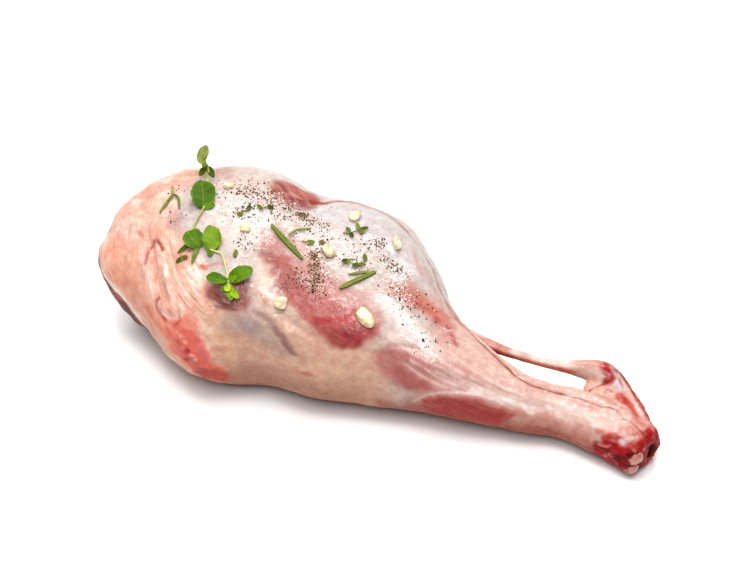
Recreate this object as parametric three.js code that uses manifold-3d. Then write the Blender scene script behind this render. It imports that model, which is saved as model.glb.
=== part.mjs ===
// A raw leg of lamb on the bone, seasoned for roasting and lying on its side.
// Millimetres, +Z up. The leg runs along X, from the thick butt at -X to the hock at +X, and its heel
// tendon stands off towards +Y. It rests on z = 0, with the origin under the middle of it.
import * as THREE from "three";
import Module from "manifold-3d";
import { mergeVertices } from "three/addons/utils/BufferGeometryUtils.js";

const wasm = await Module();
wasm.setup();

// Colours and finishes of the real things.
const finish = (color, roughness) =>
  new THREE.MeshStandardMaterial({ color, roughness, metalness: 0 });
const meatFinish = finish(0xd79a8c, 0.4);
const boneFinish = finish(0xe6cdbd, 0.45);
const oreganoFinish = finish(0x4f8a1c, 0.55);
const rosemaryFinish = finish(0x6f8a4a, 0.6);
const thymeFinish = finish(0x4c6b26, 0.6);
const garlicFinish = finish(0xf0dfae, 0.45);

// The leg's level sections: where each lies along X, its middle in Y, its width and height, and how far
// its underside is above the table. A lift below zero is pressed flat by the leg's own weight.
const SECTIONS = [
  { x: -221, y: -15, width: 92, height: 80, lift: 16 }, // rim of the butt
  { x: -204, y: -6, width: 118, height: 95, lift: 6 },
  { x: -177, y: 4, width: 147, height: 106, lift: -3 },
  { x: -137, y: 3, width: 179, height: 112, lift: -3 }, // chump
  { x: -97, y: -3, width: 176, height: 113, lift: -3 },
  { x: -57, y: 9, width: 168, height: 108, lift: -3 }, // thick of the thigh
  { x: -22, y: 13, width: 162, height: 99, lift: -2 },
  { x: 13, y: 7, width: 125, height: 86, lift: 1 },
  { x: 48, y: -5, width: 77, height: 70, lift: 5 }, // knee
  { x: 83, y: -7, width: 55, height: 54, lift: 7 },
  { x: 118, y: -4, width: 38, height: 44, lift: 6 }, // shank
  { x: 148, y: 6, width: 35, height: 40, lift: 3 },
  { x: 178, y: 10, width: 41, height: 40, lift: 0 }, // hock
  { x: 198, y: 7, width: 38, height: 38, lift: -1 },
  { x: 214, y: 3, width: 35, height: 35, lift: -1 }, // sawn end
];
const LEG_START = SECTIONS[0].x;
const LEG_END = SECTIONS[SECTIONS.length - 1].x;
const BUTT_CAP = { length: 38, share: 0.15, power: 0.48 }; // rounds the butt over
const HOCK_CAP = { length: 9, share: 0.06, power: 0.36 }; // blunt sawn end
const WIDEST_AT = 0.44; // share of the height at which a section is widest
const UPPER_POWER = 0.94; // 1 is an ellipse, less is squarer
const LOWER_POWER = { thigh: 0.7, shank: 0.95, from: 16, to: 136 };
const UNDERCUT = { depth: 40, reach: 65 }; // the butt's cut face leans in under the fat
const BUTT_SLANT = { depth: 20, reach: 42 }; // the butt is cut back on its far side
const HOCK_SLANT = { depth: 6, reach: 25 }; // and the hock on its near side

// Swells and hollows of the muscles: x, the side as an angle round the leg (0 far, 90 top, 180 near),
// half lengths along and across, the turn of the long axis, and the rise.
const SWELLS = [
  { x: -126, side: 96, along: 42, across: 32, turn: 0, rise: 3 }, // chump
  { x: -76, side: 106, along: 32, across: 9, turn: 50, rise: -4.5 }, // seam beside the topside
  { x: -26, side: 120, along: 44, across: 27, turn: 14, rise: 4.5 }, // topside muscle
  { x: -62, side: 148, along: 34, across: 14, turn: 28, rise: 3 }, // thick flank muscle
  { x: -81, side: 58, along: 14, across: 22, turn: 0, rise: -7 }, // dip in the far edge
  { x: -12, side: 60, along: 46, across: 17, turn: 0, rise: 3 }, // silverside flap
  { x: 46, side: 84, along: 22, across: 13, turn: -8, rise: -4.5 }, // hollow behind the knee
  { x: -102, side: 178, along: 20, across: 13, turn: 10, rise: 4 }, // near lobe of the chump
  { x: -64, side: 192, along: 26, across: 22, turn: 0, rise: -4.5 }, // tucked in below the flank
  { x: 28, side: 142, along: 14, across: 22, turn: 0, rise: -2.5 }, // dip over the knee
  { x: 78, side: 156, along: 34, across: 11, turn: -6, rise: 3 }, // shin muscle
  { x: 66, side: 128, along: 36, across: 8, turn: -10, rise: 2.2 },
  { x: 74, side: 142, along: 40, across: 4, turn: -8, rise: -1.8 }, // seam between the two
  { x: 191, side: 150, along: 12, across: 9, turn: 0, rise: 2 }, // ankle knuckle
  { x: -212, side: 48, along: 22, across: 34, turn: 0, rise: 9 }, // far corner of the butt
  { x: -188, side: 128, along: 9, across: 40, turn: -55, rise: 2.2 }, // folds of the fat
  { x: -162, side: 126, along: 8, across: 44, turn: -55, rise: 2.2 },
  { x: -174, side: 127, along: 6, across: 40, turn: -55, rise: -2.2 },
  { x: -136, side: 132, along: 7, across: 34, turn: -55, rise: 1.8 },
];

// The heel tendon, from inside the thigh out to the heel bone and down its ridge to the hock.
const TENDON = [
  { x: 32, y: 20, z: 40, radius: 9 },
  { x: 46, y: 24, z: 41, radius: 8 },
  { x: 59, y: 27, z: 39.5, radius: 6.5 },
  { x: 72, y: 28.5, z: 37.5, radius: 5.2 },
  { x: 91, y: 31.5, z: 34, radius: 4.2 },
  { x: 113, y: 37, z: 30.5, radius: 3.8 },
  { x: 130, y: 41.5, z: 29.5, radius: 4.7 },
  { x: 143, y: 46, z: 29, radius: 7 },
  { x: 156, y: 49, z: 28.5, radius: 9.6 }, // heel bone
  { x: 168, y: 46.5, z: 27.5, radius: 8.8 },
  { x: 180, y: 40, z: 26, radius: 7 },
  { x: 192, y: 32, z: 24.5, radius: 6.2 },
  { x: 203, y: 22, z: 23, radius: 6 },
  { x: 211, y: 13, z: 21, radius: 6.5 },
];
const WEB = { x: 167, y: 34, z: 24, long: 18, wide: 13, thick: 6.5, turn: -24 }; // skin between heel and hock

// The shank bone's sawn end in its socket: two knuckles, one over the other, on the near side of the
// sawn end, and the hollow of the joint beside them.
const BONE = {
  root: { x: 172, y: 8, z: 19, radius: 6.5 },
  neck: { x: 204, y: -4, z: 15, radius: 7.6 },
  knuckles: [
    { x: 206.5, y: -5.5, z: 20, radius: 7 },
    { x: 205.5, y: -7, z: 9.5, radius: 6.2 },
  ],
};
const GAP = 0.3; // what touches keeps this far apart
const PIT = { x: 216, y: 7, z: 17, long: 9, wide: 5, high: 7 };

// Toppings. A place is [x, y, height over the leg's surface].
const GARLIC = [
  { x: -55, y: -50, long: 11, wide: 10, high: 7, turn: 24, taper: 0.3 },
  { x: 3.5, y: -31.5, long: 17, wide: 9.5, high: 7.5, turn: -15, taper: -0.2 },
  { x: -43.5, y: -1, long: 12, wide: 8, high: 6.5, turn: -27, taper: 0.15 },
  { x: -8, y: 39, long: 12, wide: 5.5, high: 5, turn: -48, taper: 0.3 },
  { x: -46, y: 44, long: 11, wide: 8, high: 5.5, turn: 84, taper: -0.35 },
  { x: -139, y: 20, long: 9, wide: 5.5, high: 4, turn: 24, taper: 0.2 },
  { x: -103.5, y: -16, long: 8, wide: 6.5, high: 4, turn: 12, taper: 0.1 },
];
const SPRIG_UPPER = {
  stem: [
    [-160, 25, 13], [-157.5, 22.5, 9], [-154.5, 16, 4], [-147.5, 3.5, 2], [-142.5, -9, 1.7],
    [-141, -20, 1.7], [-139.5, -29, 1.7], [-132, -37.5, 1.8], [-126.5, -41, 1.8],
  ],
  radius: 0.8,
  leaves: [
    { path: [[-160, 25, 13], [-165, 26, 18], [-165, 34, 27]], width: 8.6, cup: 0.8 }, // pale top leaf
    { path: [[-159.5, 24.5, 12], [-152, 21, 5]], width: 5.5, cup: 0.6 },
    { path: [[-159.5, 24.5, 12], [-165, 20.5, 5]], width: 5.5, cup: 0.6 },
    { path: [[-142.5, -9, 1.7], [-148, -0.5, 6.5], [-155, 9, 9.5]], width: 18.5, cup: 1.2 }, // big round leaf
    { path: [[-142.5, -9, 1.7], [-135, -5, 2.2]], width: 5.5, cup: 0.5 },
    { path: [[-126.5, -41, 1.8], [-133, -39.5, 6], [-140, -36.5, 7.5]], width: 15, cup: 1 }, // round leaf
    { path: [[-132, -37.5, 1.8], [-136.5, -43.5, 2.2], [-141, -50, 1.8]], width: 3.6, cup: 0.4 },
    { path: [[-128, -40, 1.8], [-127, -47, 2.2], [-125.5, -55, 1.6]], width: 3.4, cup: 0.4 },
  ],
  buds: [{ at: [-161, 23.5, 13.6], radius: 2.4 }],
};
const SPRIG_LOWER = {
  stem: [
    [-117.5, -42, 1.9], [-111.5, -42, 1.8], [-107, -42.5, 1.8], [-100, -49.5, 1.8], [-93, -57.5, 1.9],
    [-90, -61.5, 2.2],
  ],
  radius: 0.8,
  leaves: [
    { path: [[-117.5, -42, 1.9], [-119, -36, 4.5], [-124.5, -28, 8]], width: 14, cup: 1.6 }, // light leaf
    { path: [[-117.5, -42, 1.9], [-114.5, -47, 3]], width: 5, cup: 0.4 },
    { path: [[-117.5, -42, 1.9], [-112.5, -38, 4.5]], width: 5, cup: 0.4 },
    { path: [[-93, -57.5, 1.9], [-101, -60.5, 4.5], [-109.5, -60.5, 4.5]], width: 8.6, cup: 0.9 }, // left
    { path: [[-93, -57.5, 1.9], [-87, -52, 5], [-80.5, -44, 5.5]], width: 11.5, cup: 1 }, // right leaf
    { path: [[-93, -57.5, 1.9], [-87.5, -54.5, 6]], width: 5.6, cup: 0.5 },
    { path: [[-92, -59, 2], [-85, -67.5, 3.2]], width: 7, cup: 0.6 },
    { path: [[-90, -61.5, 2.2], [-81, -64, 3.2]], width: 6, cup: 0.6 },
    { path: [[-92, -59, 2], [-95, -65.5, 2]], width: 4.4, cup: 0.4 },
    { path: [[-91, -60.5, 2.2], [-91, -65.5, 5]], width: 5.6, cup: 0.5 },
  ],
  buds: [],
};
// Rosemary needles, each a row of places with its width and thickness.
const ROSEMARY = {
  rosemary_fork: [
    { path: [[-174, -21.5, 1.2], [-174, -11.5, 1.8], [-174, -1, 2.2]], width: 2.2, thick: 1.2 },
    { path: [[-174.5, -2, 2.2], [-168, -4.5, 1.8], [-161, -14, 1.2]], width: 2, thick: 1.2 },
    { path: [[-174, -2.5, 2.2], [-179, 5, 2.4]], width: 2.6, thick: 1.2 },
  ],
  rosemary_needle_long: [
    { path: [[-91, 0.5, 1.5], [-72, -9.5, 2], [-54.5, -17, 1.5]], width: 3.8, thick: 1.7 },
  ],
  rosemary_needle_thin: [
    { path: [[-73.5, -4.5, 3.2], [-71, 3.5, 1.9], [-63.5, 11.5, 1.3]], width: 2, thick: 1.1 },
  ],
  rosemary_pair: [
    { path: [[-21, -24, 1.4], [-15.5, -14, 1.9], [-6.5, 6, 1.7]], width: 3.4, thick: 1.6 },
    { path: [[-21, -9.5, 1.3], [-15, -3, 1.8], [-6.5, 6, 1.7]], width: 2.2, thick: 1.2 },
  ],
};
// Scraps of thyme, each a stem with small leaves.
const THYME = {
  thyme_curl: {
    stem: [[-113.5, -5, 1.5], [-112, 0.5, 1.7], [-110.5, 7, 1.4]],
    leaves: [[[-113, -3, 1.6], [-115, -7.5, 1.8]], [[-111.5, 2, 1.7], [-112.5, 7.5, 2]]],
  },
  thyme_stem: {
    stem: [[-104, 9.5, 1.6], [-101, 15, 1.6], [-103.5, 22.5, 2]],
    leaves: [[[-104, 9.5, 1.6], [-108.5, 10, 2]], [[-101.5, 14, 1.6], [-96.5, 14.5, 1.8]]],
  },
  thyme_leaf_centre: {
    stem: [[-63, -3.5, 1.3], [-60.5, -2.5, 1.4], [-58, -1, 1.4]],
    leaves: [[[-59.5, -2, 1.4], [-54.5, 1, 1.7]]],
  },
  thyme_leaf_far: {
    stem: [[-52.5, 3, 1.3], [-51.5, 4.5, 1.5], [-51, 8, 1.5]],
    leaves: [[[-52, 3.5, 1.4], [-48.5, 5.5, 1.7]]],
  },
  thyme_sprig_far: {
    stem: [[-43, 22, 1.5], [-39, 26, 1.7], [-35, 33, 1.9]],
    leaves: [
      [[-39.5, 26, 1.7], [-43.5, 28.5, 2.4]], [[-39, 26, 1.7], [-35, 23, 2]], [[-35, 33, 1.9], [-40, 37, 3]],
      [[-35, 33, 1.9], [-30.5, 38.5, 3]], [[-35, 33, 1.9], [-30.5, 31, 2.4]],
    ],
  },
  thyme_sprig_near: {
    stem: [[-28, 1, 1.7], [-23, 5, 1.7], [-19.5, 2.5, 1.9], [-17.5, 10.5, 1.7]],
    leaves: [
      [[-28, 1, 1.7], [-29.5, -4.5, 3.2]], [[-28, 1, 1.7], [-24.5, -2, 3]],
      [[-19.5, 2.5, 1.9], [-22.5, -2.5, 2.2]], [[-19.5, 2.5, 1.9], [-14.5, 4.5, 3]],
      [[-17.5, 10, 1.7], [-21, 13.5, 2]],
    ],
  },
  oregano_scrap: {
    stem: [[-137, -50.5, 1.4], [-135.5, -52.5, 1.5], [-134.5, -54, 1.4]],
    leaves: [[[-136, -52, 1.5], [-138.5, -56, 1.6]], [[-136, -52, 1.5], [-131.5, -50.5, 2]]],
  },
  thyme_leaf_dark: {
    stem: [[-99, -35.5, 1.4], [-98.5, -37, 1.5], [-98, -39, 1.4]],
    leaves: [[[-99, -35.5, 1.4], [-97.5, -41, 1.6]]],
  },
};
const THYME_LEAF = { width: 3, cup: 0.25, thick: 0.6, stem: 0.55 };
const LEAF_THICK = 0.6;
const FACING = new THREE.Vector3(0.2, -0.35, 0.9); // leaves turn their faces this way

// The largest grains of cracked pepper and salt, stuck to the meat in heaps and sprinklings.
const SPRINKLINGS = [
  { x: -78, y: 23, reach: 7, count: 7 },
  { x: -45, y: -15, reach: 8, count: 14 },
  { x: -38, y: -31, reach: 7, count: 5 },
  { x: -115, y: 16, reach: 19, count: 9 },
  { x: -2, y: 20, reach: 15, count: 8 },
  { x: -54, y: 12, reach: 26, count: 6 },
  { x: 16, y: -8, reach: 15, count: 4 },
];
const GRAIN = { largest: 1.45, smallest: 0.85, apart: 3.4, clear: 2.2, sunk: 0.25 };
const SEED = 7;

const FOOT_MARGIN = 400; // the table's stand-in is wider than the leg
const LEG_STEPS = { round: 36, along: 47 };
const TENDON_STEPS = { round: 9, along: 24 };

const DEGREE = Math.PI / 180;
const clamp01 = (t) => Math.min(Math.max(t, 0), 1);
const bell = (t) => Math.exp(-t * t);
const signedPower = (t, power) => Math.sign(t) * Math.abs(t) ** power;

// A smooth curve through one column of a table of rows, as a function of x.
function smoothRow(rows, column, x) {
  const last = rows.length - 1;
  const slope = (i) => {
    const a = rows[Math.max(i - 1, 0)];
    const b = rows[Math.min(i + 1, last)];
    return (b[column] - a[column]) / (b.x - a.x);
  };
  let i = 0;
  while (i < last - 1 && x > rows[i + 1].x) i += 1;
  const [p, q] = [rows[i], rows[i + 1]];
  const span = q.x - p.x;
  const t = clamp01((x - p.x) / span);
  return (
    (2 * t ** 3 - 3 * t ** 2 + 1) * p[column] +
    (t ** 3 - 2 * t ** 2 + t) * span * slope(i) +
    (3 * t ** 2 - 2 * t ** 3) * q[column] +
    (t ** 3 - t ** 2) * span * slope(i + 1)
  );
}

// How far the muscles and the fat lift the surface at x and an angle round the leg, where one degree is
// `perDegree` millimetres of surface.
function relief(x, side, perDegree) {
  let rise = 0;
  for (const s of SWELLS) {
    const dx = x - s.x;
    const ds = (side - s.side) * perDegree;
    const [c, n] = [Math.cos(s.turn * DEGREE), Math.sin(s.turn * DEGREE)];
    rise += s.rise * bell((dx * c + ds * n) / s.along) * bell((ds * c - dx * n) / s.across);
  }
  return rise;
}

// The leg's skin: `along` runs from the butt's pole to the hock's, and `round` once round the section.
function legPoint(round, along) {
  const body = clamp01((along - BUTT_CAP.share) / (1 - BUTT_CAP.share - HOCK_CAP.share));
  const butt = clamp01(along / BUTT_CAP.share) * (Math.PI / 2);
  const hock = clamp01((along - 1 + HOCK_CAP.share) / HOCK_CAP.share) * (Math.PI / 2);
  let x =
    LEG_START +
    BUTT_CAP.length * (1 - Math.cos(butt)) +
    (LEG_END - LEG_START - BUTT_CAP.length - HOCK_CAP.length) * body +
    HOCK_CAP.length * Math.sin(hock);
  const closing =
    Math.sin(butt) ** BUTT_CAP.power * Math.max(Math.cos(hock), 0) ** HOCK_CAP.power;
  const [y, width, height, lift] = ["y", "width", "height", "lift"].map((c) => smoothRow(SECTIONS, c, x));
  const [cos, sin] = [Math.cos(2 * Math.PI * round), Math.sin(2 * Math.PI * round)];
  const { thigh, shank, from, to } = LOWER_POWER;
  const power = sin > 0 ? UPPER_POWER : thigh + (shank - thigh) * clamp01((x - from) / (to - from));
  const half = (sin > 0 ? 1 - WIDEST_AT : WIDEST_AT) * height;
  const out = signedPower(cos, power) * closing;
  const up = signedPower(sin, power) * closing;
  const rise = relief(x, (360 * (round + 0.25)) % 360 - 90, ((width + height) / 4) * DEGREE) * closing;
  const z = lift + WIDEST_AT * height + half * up + rise * sin;
  const [start, end] = [x - LEG_START, LEG_END - x];
  x += UNDERCUT.depth * bell(start / UNDERCUT.reach) * (1 - z / (lift + height));
  x += BUTT_SLANT.depth * bell(start / BUTT_SLANT.reach) * out;
  x += HOCK_SLANT.depth * bell(end / HOCK_SLANT.reach) * out;
  return [x, y + (width / 2) * out + rise * cos, z];
}

// A sphere's grid moved onto point(round, along): a closed skin with a pole at each end.
function closedSkin(steps, point) {
  const geometry = new THREE.SphereGeometry(1, steps.round, steps.along);
  const { position, uv } = geometry.attributes;
  for (let i = 0; i < position.count; i += 1) {
    const along = 1 - uv.getY(i);
    const pole = along < 1e-6 || along > 1 - 1e-6;
    position.setXYZ(i, ...point(pole ? 0 : uv.getX(i) % 1, along));
  }
  return geometry;
}

// A solid from a closed geometry, with its faces turned out if they point in.
function solidFrom(geometry) {
  const bare = geometry.clone();
  for (const name of Object.keys(bare.attributes)) if (name !== "position") bare.deleteAttribute(name);
  const merged = mergeVertices(bare, 1e-4);
  const triVerts = new Uint32Array(merged.index.array);
  const vertProperties = merged.attributes.position.array;
  const made = new wasm.Manifold(new wasm.Mesh({ numProp: 3, vertProperties, triVerts }));
  if (made.volume() > 0) return made;
  for (let i = 0; i < triVerts.length; i += 3) triVerts.subarray(i, i + 2).reverse();
  return new wasm.Manifold(new wasm.Mesh({ numProp: 3, vertProperties, triVerts }));
}

function geometryFrom(solid) {
  const mesh = solid.getMesh();
  return new THREE.BufferGeometry()
    .setAttribute("position", new THREE.BufferAttribute(mesh.vertProperties, 3))
    .setIndex(new THREE.BufferAttribute(mesh.triVerts, 1));
}

// A round rod along a row of points, whose radius changes from point to point, with rounded ends.
function rod(row, steps, endShare = 0.04) {
  const places = row.map((p) => new THREE.Vector3(p.x, p.y, p.z));
  const middle = new THREE.CatmullRomCurve3(places, false, "centripetal");
  const radii = new THREE.SplineCurve(row.map((p, i) => new THREE.Vector2(i, p.radius)));
  const frames = middle.computeFrenetFrames(steps.along * 4, false);
  return closedSkin(steps, (round, along) => {
    const ends = clamp01(Math.min(along, 1 - along) / endShare);
    const closing = Math.sqrt(1 - (1 - ends) ** 2);
    const frame = Math.round(along * steps.along * 4);
    const centre = middle.getPoint(along);
    const radius = radii.getPoint(along).y * closing;
    return centre
      .addScaledVector(frames.normals[frame], radius * Math.cos(2 * Math.PI * round))
      .addScaledVector(frames.binormals[frame], radius * Math.sin(2 * Math.PI * round))
      .toArray();
  });
}

const blob = (x, y, z, long, wide, high, turn = 0, round = 12, tall = 8) =>
  new THREE.SphereGeometry(1, round, tall)
    .scale(long, wide, high)
    .rotateZ(turn * DEGREE)
    .translate(x, y, z);

// The bone, `grow` larger all round for its socket.
function boneSolid(grow) {
  const { root, neck, knuckles } = BONE;
  const between = (t) => root.x + (neck.x - root.x) * t;
  const row = [0, 0.5, 1].map((t) => ({
    x: between(t),
    y: root.y + (neck.y - root.y) * t,
    z: root.z + (neck.z - root.z) * t,
    radius: root.radius + (neck.radius - root.radius) * t + grow,
  }));
  const lobes = knuckles.map(({ x, y, z, radius }) => {
    const size = radius + grow;
    return solidFrom(blob(x, y, z, size, size, size, 0, 10, 7));
  });
  return lobes.reduce((all, lobe) => all.add(lobe), solidFrom(rod(row, { round: 12, along: 6 }, 0.15)));
}

function legSolid() {
  const heel = solidFrom(rod(TENDON, TENDON_STEPS));
  const web = solidFrom(blob(WEB.x, WEB.y, WEB.z, WEB.long, WEB.wide, WEB.thick, WEB.turn, 12, 7));
  const table = solidFrom(
    new THREE.BoxGeometry(2 * FOOT_MARGIN, 2 * FOOT_MARGIN, FOOT_MARGIN).translate(0, 0, -FOOT_MARGIN / 2),
  );
  const pit = solidFrom(blob(PIT.x, PIT.y, PIT.z, PIT.long, PIT.wide, PIT.high, 0, 10, 6));
  return solidFrom(closedSkin(LEG_STEPS, legPoint))
    .add(heel)
    .add(web)
    .subtract(boneSolid(GAP))
    .subtract(pit)
    .subtract(table);
}

const bareLeg = legSolid();
const bareMesh = new THREE.Mesh(geometryFrom(bareLeg), meatFinish);
const raisedLeg = bareLeg.translate([0, 0, GAP]);
const down = new THREE.Vector3(0, 0, -1);

// A point `above` the leg's surface at x and y, and the surface's normal there.
function overLeg([x, y, above]) {
  const caster = new THREE.Raycaster(new THREE.Vector3(x, y, 200), down);
  const hit = caster.intersectObject(bareMesh)[0];
  return { point: hit.point.clone().add(new THREE.Vector3(0, 0, above)), normal: hit.face.normal };
}

// A leaf or needle along a row of places: an oval sheet whose edges lift by `cup`. Its two faces are split
// into the same triangles. `blunt` is 0.5 for a round leaf and more for a pointed one, and `root` is how
// far it starts inside its stem.
function frond(leaf, steps = { along: 5, across: 2 }) {
  const { path, width, cup = 0, thick = LEAF_THICK, blunt = 0.5, root = 0 } = leaf;
  const points = path.map((place) => overLeg(place).point);
  points[0].addScaledVector(points[1].clone().sub(points[0]).normalize(), -root);
  const curve = new THREE.CatmullRomCurve3(points);
  const columns = steps.across + 1;
  const count = (steps.along + 1) * columns;
  const corners = [];
  for (const face of [0.5, -0.5]) {
    for (let i = 0; i <= steps.along; i += 1) {
      const t = i / steps.along;
      const point = curve.getPoint(t);
      const side = curve.getTangent(t).cross(FACING).normalize();
      const facing = side.clone().cross(curve.getTangent(t)).normalize();
      const half = Math.max((width / 2) * (4 * t * (1 - t)) ** blunt, 0.35);
      for (let j = 0; j < columns; j += 1) {
        const across = (2 * j) / steps.across - 1;
        const lift = cup * across * across * Math.sin(Math.PI * t) + face * thick;
        const corner = point.clone().addScaledVector(side, across * half).addScaledVector(facing, lift);
        corners.push(...corner.toArray());
      }
    }
  }
  const faces = [];
  const quad = (a, b, c, d) => faces.push(a, b, d, b, c, d);
  for (let i = 0; i < steps.along; i += 1) {
    for (let j = 0; j < steps.across; j += 1) {
      const a = i * columns + j;
      quad(a, a + 1, a + columns + 1, a + columns);
      const [b, c, d] = [a + 1, a + columns, a + columns + 1].map((corner) => corner + count);
      faces.push(a + count, c, b, b, c, d);
    }
  }
  const rim = (a, b) => quad(a, a + count, b + count, b);
  for (let j = 0; j < steps.across; j += 1) {
    rim(j, j + 1);
    rim(count - columns + j + 1, count - columns + j);
  }
  for (let i = 0; i < steps.along; i += 1) {
    rim((i + 1) * columns, i * columns);
    rim(i * columns + steps.across, (i + 1) * columns + steps.across);
  }
  return solidFrom(
    new THREE.BufferGeometry()
      .setAttribute("position", new THREE.Float32BufferAttribute(corners, 3))
      .setIndex(faces),
  );
}

function stemSolid(places, radius) {
  const row = places.map((place) => ({ ...pick(overLeg(place).point), radius }));
  return solidFrom(rod(row, { round: 5, along: places.length + 3 }, 0.1));
}
const pick = ({ x, y, z }) => ({ x, y, z });

function sprigSolid({ stem, radius, leaves, buds }) {
  const parts = [stemSolid(stem, radius)];
  for (const leaf of leaves) {
    const large = leaf.width > 8;
    const steps = large ? { along: 5, across: 4 } : { along: 3, across: 2 };
    parts.push(frond({ root: 0.9, blunt: large ? 0.5 : 0.7, ...leaf }, steps));
  }
  for (const bud of buds) {
    const { x, y, z } = overLeg(bud.at).point;
    parts.push(solidFrom(blob(x, y, z, bud.radius, bud.radius, bud.radius * 0.85, 0, 7, 5)));
  }
  return parts.reduce((all, part) => all.add(part)).subtract(raisedLeg);
}

const thymeSolid = ({ stem, leaves }) =>
  sprigSolid({
    stem,
    radius: THYME_LEAF.stem,
    leaves: leaves.map((path) => ({ path, blunt: 0.6, ...THYME_LEAF })),
    buds: [],
  });

function needlesSolid(needles) {
  const parts = needles.map((needle) => frond({ blunt: 0.35, ...needle }));
  return parts.reduce((all, part) => all.add(part)).subtract(raisedLeg);
}

// A chopped bit of garlic: a squarish lump, wider at one end, bedded on the leg.
function garlicSolid({ x, y, long, wide, high, turn, taper }) {
  const lump = closedSkin({ round: 10, along: 6 }, (round, along) => {
    const out = Math.sin(Math.PI * along) ** 0.6;
    const a = signedPower(Math.cos(2 * Math.PI * round), 0.6) * out;
    const b = signedPower(Math.sin(2 * Math.PI * round), 0.75) * out;
    const up = signedPower(-Math.cos(Math.PI * along), 0.7) * (1 - 0.25 * a * Math.sign(taper));
    return [(a * long) / 2, ((b * wide) / 2) * (1 + taper * a), (up * high) / 2];
  });
  const { point, normal } = overLeg([x, y, 0]);
  lump.rotateZ(turn * DEGREE);
  lump.applyQuaternion(new THREE.Quaternion().setFromUnitVectors(new THREE.Vector3(0, 0, 1), normal));
  point.addScaledVector(normal, high * 0.38);
  return solidFrom(lump.translate(point.x, point.y, point.z)).subtract(raisedLeg);
}

// Seeded numbers from 0 to 1.
let state = SEED;
function chance() {
  state = (state * 1664525 + 1013904223) % 4294967296;
  return state / 4294967296;
}

// Everything the grains keep clear of, as [x, y, radius].
const BLADES = [...SPRIG_UPPER.leaves, ...SPRIG_LOWER.leaves, ...Object.values(ROSEMARY).flat()];
const SCRAPS = Object.values(THYME).flatMap(({ stem, leaves }) => [stem, ...leaves]);
const KEEP_CLEAR = [
  ...GARLIC.map((g) => [g.x, g.y, g.long / 2]),
  ...BLADES.flatMap(({ path, width }) => spread(path).map(([x, y]) => [x, y, width / 2])),
  ...[SPRIG_UPPER.stem, SPRIG_LOWER.stem, ...SCRAPS].flatMap(spread).map(([x, y]) => [x, y, 1.4]),
];

// Places every few millimetres along a row of places.
function spread(places) {
  const rows = [];
  for (let i = 0; i + 1 < places.length; i += 1) {
    const [a, b] = [places[i], places[i + 1]];
    const count = Math.ceil(Math.hypot(b[0] - a[0], b[1] - a[1]) / 2);
    for (let k = 0; k <= count; k += 1) rows.push([0, 1].map((n) => a[n] + ((b[n] - a[n]) * k) / count));
  }
  return rows;
}

function grainPlaces() {
  const placed = [];
  const clearOf = (x, y, list, extra) =>
    list.every(([px, py, r = 0]) => Math.hypot(x - px, y - py) > r + extra);
  for (const { x, y, reach, count } of SPRINKLINGS) {
    for (let found = 0, tries = 0; found < count && tries < 400; tries += 1) {
      const [turn, out] = [2 * Math.PI * chance(), reach * Math.sqrt(-Math.log(1 - 0.95 * chance()))];
      const place = [x + out * Math.cos(turn), y + out * Math.sin(turn)];
      if (!clearOf(...place, KEEP_CLEAR, GRAIN.clear) || !clearOf(...place, placed, GRAIN.apart)) continue;
      placed.push(place);
      found += 1;
    }
  }
  return placed;
}

function seasonedLeg() {
  const places = grainPlaces();
  const sizes = places.map((_, i) => GRAIN.largest + ((GRAIN.smallest - GRAIN.largest) * i) / places.length);
  const grains = places.map(([x, y], i) => {
    const size = sizes[(i * 37) % sizes.length];
    const { point, normal } = overLeg([x, y, 0]);
    point.addScaledVector(normal, size * (1 - 2 * GRAIN.sunk));
    return solidFrom(
      new THREE.IcosahedronGeometry(size, 0)
        .rotateX(6 * chance())
        .rotateY(6 * chance())
        .translate(point.x, point.y, point.z),
    );
  });
  return grains.reduce((all, grain) => all.add(grain), bareLeg);
}

const nodes = [
  ["leg_meat", seasonedLeg(), meatFinish],
  ["shank_bone", boneSolid(0), boneFinish],
  ["oregano_sprig_upper", sprigSolid(SPRIG_UPPER), oreganoFinish],
  ["oregano_sprig_lower", sprigSolid(SPRIG_LOWER), oreganoFinish],
  ...Object.entries(ROSEMARY).map(([name, needles]) => [name, needlesSolid(needles), rosemaryFinish]),
  ...Object.entries(THYME).map(([name, scrap]) => [name, thymeSolid(scrap), thymeFinish]),
  ...GARLIC.map((piece, i) => [`garlic_piece_${i + 1}`, garlicSolid(piece), garlicFinish]),
];

const lambLeg = new THREE.Group();
lambLeg.name = "lamb_leg";
for (const [name, solid, material] of nodes) {
  const mesh = new THREE.Mesh(geometryFrom(solid), material);
  mesh.name = name;
  lambLeg.add(mesh);
}

// The origin goes under the middle of the whole.
const middle = new THREE.Box3().setFromObject(lambLeg).getCenter(new THREE.Vector3());
for (const mesh of lambLeg.children) mesh.geometry.translate(-middle.x, -middle.y, 0);

export default lambLeg;
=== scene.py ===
import math

import bpy
import numpy as np
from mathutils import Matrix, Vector
from mathutils.bvhtree import BVHTree


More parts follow.
